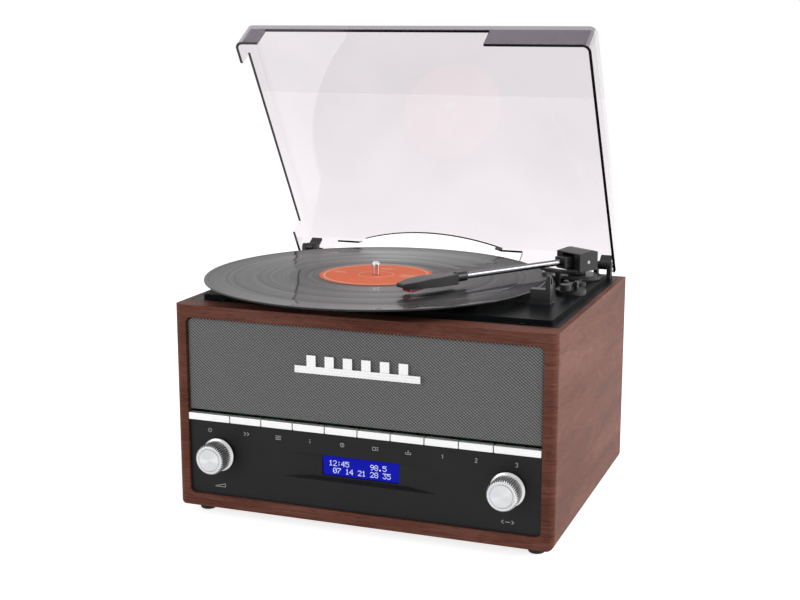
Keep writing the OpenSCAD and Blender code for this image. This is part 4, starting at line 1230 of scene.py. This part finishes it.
@dataclass
class Knob:
    """A turned and knurled control knob."""

    node: str
    x: float
    shaft_end: float = 0.0
    z: float = 55.0
    back: float = -125.9
    length: float = 17.5
    radius: float = 13.0
    ribs: int = 44
    rib_depth: float = 0.95
    rib_steps: int = 6
    shaft_r: float = 3.0

    def build(self) -> None:
        """Builds the knob."""
        r, n = self.radius, self.length
        profile = [(0.0, -self.shaft_end)]
        if self.shaft_end:
            profile += [(self.shaft_r, -self.shaft_end), (self.shaft_r, 0.0)]
        profile += [(r + 0.9, 0.0), (r + 1.4, 0.4), (r + 1.4, 1.2), (r + 1.0, 1.6), (r - 0.2, 2.0)]
        first = len(profile)
        profile += [(r - 0.3, 2.6), (r, 3.2), (r, n - 1.7), (r - 0.25, n - 1.0), (r - 0.75, n - 0.35)]
        last = len(profile) - 1
        profile += [(r - 1.3, n - 0.08), (r - 2.0, n), (r - 3.0, n - 0.05), (r - 3.3, n - 0.6),
                    (r - 3.8, n - 0.7), (r - 4.1, n - 0.12), (r - 5.0, n - 0.05),
                    (r - 8.0, n - 0.22), (r - 11.0, n - 0.32), (0.0, n - 0.36)]

        def knurl(angle: float, ring: int) -> float:
            """Returns what the knurling takes off the radius."""
            depth = self.rib_depth if first <= ring <= last else 0.0
            return -depth * (0.5 - 0.5 * math.cos(self.ribs * angle)) ** 0.8

        finishes = [2 if first <= k < last else int(k > last + 1) for k in range(len(profile) - 1)]
        draft = Draft()
        draft.lathe(profile, lambda u, v, h: (self.x + u, self.back - h, self.z + v),
                    self.ribs * self.rib_steps, finishes, knurl)
        spun = SpunAluminium(f"aluminium_spun_{self.node}_face", (self.x, self.back - n, self.z))
        knurled = KnurledAluminium(f"aluminium_knurled_{self.node}", (self.x, self.back, self.z), self.ribs)
        knob = draft.build(f"{self.node}_turned", self.node, "silver_plastic",
                           [ALUMINIUM, spun, knurled], 40.0)
        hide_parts(self.node)
        log.info("turned %s, %d faces", self.node, len(draft.faces))


@dataclass
class Turntable:
    """The deck, the platter, the record on it and its label."""

    outer: float = 150.5
    hole: float = 3.75
    label: float = 50.0
    bottom: float = 193.7
    top: float = 195.5
    sunk: float = 0.25
    gap_depth: float = 0.03
    gap_w: float = 0.8
    gaps: tuple[float, ...] = (128.0, 104.0, 83.0)
    ring_steps: int = 256
    print_low: float = 195.68
    print_top: float = 195.76
    print_rings: tuple[tuple[float, float], ...] = ((45.2, 46.3), (15.0, 15.5))
    print_bars: tuple[tuple[float, float, float, float], ...] = (
        (22.0, 4.5, 15.0, 1.5), (22.0, 0.5, 19.0, 1.1), (22.0, -3.2, 11.0, 1.1), (-40.0, 3.0, 9.0, 1.2),
        (-40.0, -1.0, 12.0, 1.2), (-7.0, 30.0, 14.0, 1.2), (-5.0, 26.0, 10.0, 1.0))

    def build(self) -> None:
        """Builds the turntable's pieces."""
        soften("deck_plate", DECK_ABS, edge=0.7, segments=3)
        soften("platter", CAST_ALUMINIUM, edge=0.6)
        soften("spindle", CHROME, edge=0.5, segments=3)
        self.press_record()
        self.print_label()

    def press_record(self) -> None:
        """Presses the record, with its bead, playing bands, run-out and label seat."""
        o, groove, t = self.outer, self.top - self.sunk, self.top
        profile = [(self.hole, self.bottom), (o - 1.6, self.bottom), (o - 0.5, self.bottom + 0.25),
                   (o, self.bottom + 0.7), (o, t - 0.6), (o - 0.35, t - 0.15), (o - 1.1, t),
                   (o - 2.2, t - 0.02), (o - 3.4, groove)]
        for r in self.gaps:
            profile += [(r + self.gap_w, groove), (r + self.gap_w * 0.45, groove - self.gap_depth),
                        (r - self.gap_w * 0.45, groove - self.gap_depth), (r - self.gap_w, groove)]
        profile += [(61.0, groove), (59.8, groove - 0.12), (54.0, groove - 0.12), (52.6, groove),
                    (self.label + 0.8, t - 0.05), (self.label - 0.5, t), (self.hole, t),
                    (self.hole, self.bottom)]
        draft = Draft()
        draft.lathe(profile, on_spindle, self.ring_steps)
        record = draft.build("vinyl_record_pressed", "platter", "vinyl", [VINYL], 30.0)
        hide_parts("vinyl_record")
        log.info("pressed the record, %d faces", len(draft.faces))

    def print_label(self) -> None:
        """Prints plain rings and bars on the label."""
        soften("record_label", LABEL_PAPER, edge=0.05)
        draft = Draft()
        for inner, outer in self.print_rings:
            draft.ring(inner, outer, self.print_low, self.print_top, on_spindle, self.ring_steps // 2)
        for bar in self.print_bars:
            draft.prism(rectangle(*bar), on_spindle, self.print_low, self.print_top)
        draft.build("label_print_rings", "platter", "label", [LABEL_CREAM])
        log.info("printed the label")


@dataclass
class Arm:
    """The tonearm with its cradle, rest, lift and speed selector."""

    pivot: tuple[float, float] = (129.0, 84.0)
    play_deg: float = 33.0
    bare_from: float = 27.0
    bare_to: float = 131.0
    parts: tuple[tuple[str, float, int], ...] = (
        ("arm_rest", 0.5, 2), ("arm_clip", 0.35, 2), ("cue_base", 0.5, 2), ("cue_lever", 0.4, 2),
        ("lift_bar", 0.3, 2), ("speed_selector", 0.4, 2))

    def along(self, middle: Vector) -> float:
        """Measures along the arm.

        Args:
            middle: a point in cabinet millimetres.

        Returns:
            How far along the arm the point is from the pivot.
        """
        turn = math.radians(self.play_deg)
        dx, dy = middle.x - self.pivot[0], middle.y - self.pivot[1]
        return -(dx * math.sin(turn) + dy * math.cos(turn))

    def build(self) -> None:
        """Builds the arm's pieces."""
        soften("tonearm_base", ARM_ABS, edge=0.6, segments=3)
        soften("tonearm_yoke", ARM_ABS, edge=0.8, segments=3)
        soften("tonearm_tube", [ARM_ABS, ARM_TUBE], edge=0.4,
               choose=lambda middle, normal: int(self.bare_from < self.along(middle) < self.bare_to))
        soften("headshell", ARM_ABS, edge=0.7, segments=3)
        soften("cartridge", RED_ABS, edge=0.5, segments=3)
        for node, edge, segments in self.parts:
            soften(node, ARM_ABS, edge=edge, segments=segments)


@dataclass
class Cover:
    """The smoked dust cover and its hinges."""

    pin_y: float = 113.0
    pin_z: float = 195.0
    open_deg: float = 58.0
    top: float = 219.0
    thick: float = 2.5
    front: float = -127.0
    lip: float = 5.0
    outer_edge: float = 1.1
    inner_edge: float = 0.5
    notch_half: float = 96.0
    notch_reach: float = 60.0
    facing_down: float = -0.45
    facing_level: float = 0.3
    rim_under: float = 1.0
    band_reach: float = 0.3
    crown_reach: float = 0.2

    def shut(self, point: Vector) -> Vector:
        """Turns a point or direction on the open cover to where it is on the shut one."""
        pin = Vector((0.0, self.pin_y, self.pin_z))
        return Matrix.Rotation(math.radians(self.open_deg), 3, "X") @ (point - pin) + pin

    def part(self, middle: Vector, normal: Vector) -> int:
        """Picks the finish of a face.

        Args:
            middle: the face's middle in cabinet millimetres.
            normal: which way it looks.

        Returns:
            0 for the pane, 1 for the front band and 2 for a cut edge.
        """
        where = self.shut(middle)
        down = (Matrix.Rotation(math.radians(self.open_deg), 3, "X") @ normal).z
        rim = down < self.facing_down and where.z < self.top - self.thick - self.rim_under
        in_notch = where.y > self.pin_y - self.notch_reach and abs(where.x) < self.notch_half
        if rim or (in_notch and abs(down) < self.facing_level):
            return 2
        in_front = where.y < self.front + self.thick + self.band_reach
        return int(in_front and where.z < self.top - self.lip)

    def rounding(self, middle: Vector) -> float:
        """Returns how wide the rounding of an edge is."""
        where = self.shut(middle)
        return self.outer_edge if where.z > self.top - self.crown_reach else self.inner_edge

    def build(self) -> None:
        """Builds the cover's pieces."""
        soften("dust_cover", [COVER_PANE, COVER_BAND, COVER_RIM], segments=3, choose=self.part,
               wide=self.rounding)
        for node in ("hinge_leaves", "hinge_left", "hinge_right"):
            soften(node, HINGE_ABS, edge=0.4)


@dataclass
class RearPanel:
    """The sockets at the back, with their coloured rings, contacts and threads."""

    z: float = 68.0
    phono_x: tuple[float, float] = (-130.0, -116.0)
    aerial_x: float = -60.0
    inlet_x: float = 110.0
    ring_r: float = 5.2
    back: float = 127.0
    pins_x: tuple[float, ...] = (-7.0, 0.0, 7.0)
    pin_w: float = 2.2
    pin_h: float = 5.0
    pin_low: float = -3.5
    pin_ends: tuple[float, float] = (115.0, 125.5)
    shell: tuple[tuple[float, float], ...] = ((1.5, 123.5), (3.2, 123.5), (3.2, 134.5), (2.9, 135.0),
                                              (1.9, 135.0), (1.5, 134.5), (1.5, 123.5))
    shell_steps: int = 48
    thread: tuple[float, float, float, float] = (1.2, 2.6, 134.9, 135.95)
    thread_steps: int = 40

    def part(self, middle: Vector, normal: Vector) -> int:
        """Picks the finish of a face.

        Args:
            middle: the face's middle in cabinet millimetres.
            normal: which way it looks. It is not used.

        Returns:
            0 for black, 1 for red, 2 for white and 3 for brass.
        """
        if middle.y < self.back:
            return 0
        for place_x, number in ((self.phono_x[0], 1), (self.phono_x[1], 2), (self.aerial_x, 3)):
            if abs(middle.x - place_x) < self.ring_r:
                return number
        return 0

    def fit_contacts(self) -> None:
        """Fits the phono sockets' shells, the aerial socket's thread and the inlet's pins."""
        draft = Draft()
        for x in self.phono_x:
            draft.lathe(self.shell, lambda u, v, h: (x + u, h, self.z + v), self.shell_steps)
        for x in self.pins_x:
            left, low = self.inlet_x + x - self.pin_w / 2, self.z + self.pin_low
            draft.prism(rectangle(left, low, self.pin_w, self.pin_h), from_front, *self.pin_ends)
        draft.ring(*self.thread, lambda u, v, h: (self.aerial_x + u, h, self.z + v), self.thread_steps)
        draft.build("rear_contacts_plated", "cabinet", "steel", [BRASS])
        log.info("fitted the rear contacts")

    def build(self) -> None:
        """Builds the rear sockets."""
        self.fit_contacts()
        soften("rear_sockets", [HINGE_ABS, RED_PLASTIC, WHITE_PLASTIC, BRASS], edge=0.3, choose=self.part)


@dataclass
class Insides:
    """The nodes whose CAD shape stays, most of them behind the panels."""

    dressed: tuple[tuple[Finish, tuple[str, ...]], ...] = DRESSED_NODES

    def build(self) -> None:
        """Dresses the nodes."""
        for finish, nodes in self.dressed:
            for node in nodes:
                dress(node, finish)


@dataclass
class Studio:
    """The photograph's camera, soft light and white surroundings."""

    eye: tuple[float, float, float] = (410.3, -1126.6, 419.5)
    yaw_deg: float = 20.464
    pitch_deg: float = 11.596
    focal_px: float = 1388.0
    picture_px: float = 800.0
    sensor_mm: float = 36.0
    near_m: float = 0.05
    far_m: float = 50.0
    floor_half: float = 6.0
    floor_z: float = -0.0002
    sky: float = 0.33
    floor_lift: float = 0.78
    aim: Point = (0.0, 0.0, 100.0)
    softboxes: tuple[tuple[str, Point, float, float], ...] = (
        ("softbox_right", (2000.0, 350.0, 1100.0), 1.3, 31.0),
        ("softbox_left", (-1300.0, -1600.0, 800.0), 1.2, 12.0))

    def set_camera(self) -> None:
        """Puts the camera where the photograph was taken from."""
        data = bpy.data.cameras.new("photo_camera")
        data.sensor_width = self.sensor_mm
        data.lens = self.focal_px / self.picture_px * self.sensor_mm
        data.clip_start, data.clip_end = self.near_m, self.far_m
        camera = bpy.data.objects.new("photo_camera", data)
        camera.location = place(*self.eye)
        camera.rotation_euler = (math.radians(90 - self.pitch_deg), 0.0, math.radians(self.yaw_deg))
        bpy.context.scene.collection.objects.link(camera)
        bpy.context.scene.camera = camera

    def lay_floor(self) -> None:
        """Lays the white floor, whose colour and not its light reaches the edge of the picture."""
        size = 2 * self.floor_half
        corners = [(x, y, self.floor_z) for x, y in rectangle(-self.floor_half, -self.floor_half, size, size)]
        mesh = bpy.data.meshes.new("floor")
        mesh.from_pydata(corners, [], [(0, 1, 2, 3)])
        paint = bpy.data.materials.new("matt_white_floor")
        paint.use_nodes = True
        tree = paint.node_tree
        tree.nodes.clear()
        coords = add_node(tree, "ShaderNodeTexCoord")
        mottle = add_node(tree, "ShaderNodeTexNoise", {"Vector": coords.outputs["Object"], "Scale": 3.0})
        tone = ramp(add_node(tree, "ShaderNodeValToRGB", {0: mottle.outputs["Fac"]}),
                    ((0.3, "#f0f0f0"), (0.7, "#f2f2f2")))
        matt = add_node(tree, "ShaderNodeBsdfDiffuse", {"Color": tone})
        path = add_node(tree, "ShaderNodeLightPath")
        seen = add_node(tree, "ShaderNodeMath",
                        {0: path.outputs["Is Camera Ray"], 1: path.outputs["Is Glossy Ray"]},
                        operation="MAXIMUM")
        lifted = add_node(tree, "ShaderNodeMath", {0: seen.outputs[0], 1: self.floor_lift},
                          operation="MULTIPLY")
        lift = add_node(tree, "ShaderNodeEmission", {"Color": (1, 1, 1, 1), "Strength": lifted.outputs[0]})
        both = add_node(tree, "ShaderNodeAddShader", {0: matt.outputs[0], 1: lift.outputs[0]})
        add_node(tree, "ShaderNodeOutputMaterial", {"Surface": both.outputs[0]})
        mesh.materials.append(paint)
        floor = bpy.data.objects.new("floor", mesh)
        bpy.context.scene.collection.objects.link(floor)

    def light_sky(self) -> None:
        """Lights the world evenly, and shows it white to the camera and in mirrors."""
        world = bpy.data.worlds.new("studio_white")
        world.use_nodes = True
        tree = world.node_tree
        tree.nodes.clear()
        path = add_node(tree, "ShaderNodeLightPath")
        sharp = add_node(tree, "ShaderNodeMath",
                         {0: path.outputs["Is Camera Ray"], 1: path.outputs["Is Glossy Ray"]},
                         operation="MAXIMUM")
        shown = add_node(tree, "ShaderNodeMath",
                         {0: sharp.outputs[0], 1: path.outputs["Is Transmission Ray"]}, operation="MAXIMUM")
        level = add_node(tree, "ShaderNodeMapRange", between(shown.outputs[0], self.sky, 1.0, (0.0, 1.0)))
        sky = add_node(tree, "ShaderNodeBackground", {"Color": (1, 1, 1, 1), "Strength": level.outputs[0]})
        add_node(tree, "ShaderNodeOutputWorld", {"Surface": sky.outputs[0]})
        bpy.context.scene.world = world

    def hang_softbox(self, name: str, where: Point, size: float, watts: float) -> None:
        """Hangs one square softbox.

        Args:
            name: the lamp's name.
            where: its place in cabinet millimetres.
            size: its side in metres.
            watts: its power.
        """
        data = bpy.data.lights.new(name, "AREA")
        data.shape = "SQUARE"
        data.size = size
        data.energy = watts
        lamp = bpy.data.objects.new(name, data)
        lamp.location = place(*where)
        lamp.rotation_euler = (place(*self.aim) - place(*where)).to_track_quat("-Z", "Y").to_euler()
        bpy.context.scene.collection.objects.link(lamp)

    def build(self) -> None:
        """Builds the studio."""
        self.set_camera()
        self.lay_floor()
        self.light_sky()
        for softbox in self.softboxes:
            self.hang_softbox(*softbox)
        bpy.context.scene.view_settings.view_transform = "Standard"
        log.info("set up the studio")


def main() -> None:
    """Builds each sub-assembly in order."""
    logging.basicConfig(level=logging.INFO, format="%(name)s: %(message)s")
    Studio().build()
    for assembly in (
        Cabinet(),
        Grille(),
        ControlPanel(),
        Knob("volume_knob", -KNOB_X, shaft_end=12.0),
        Knob("tune_knob", KNOB_X),
        Turntable(),
        Arm(),
        Cover(),
        RearPanel(),
        Insides(),
    ):
        assembly.build()
        log.info("finished %s", type(assembly).__name__)


if __name__ == "__main__":
    main()
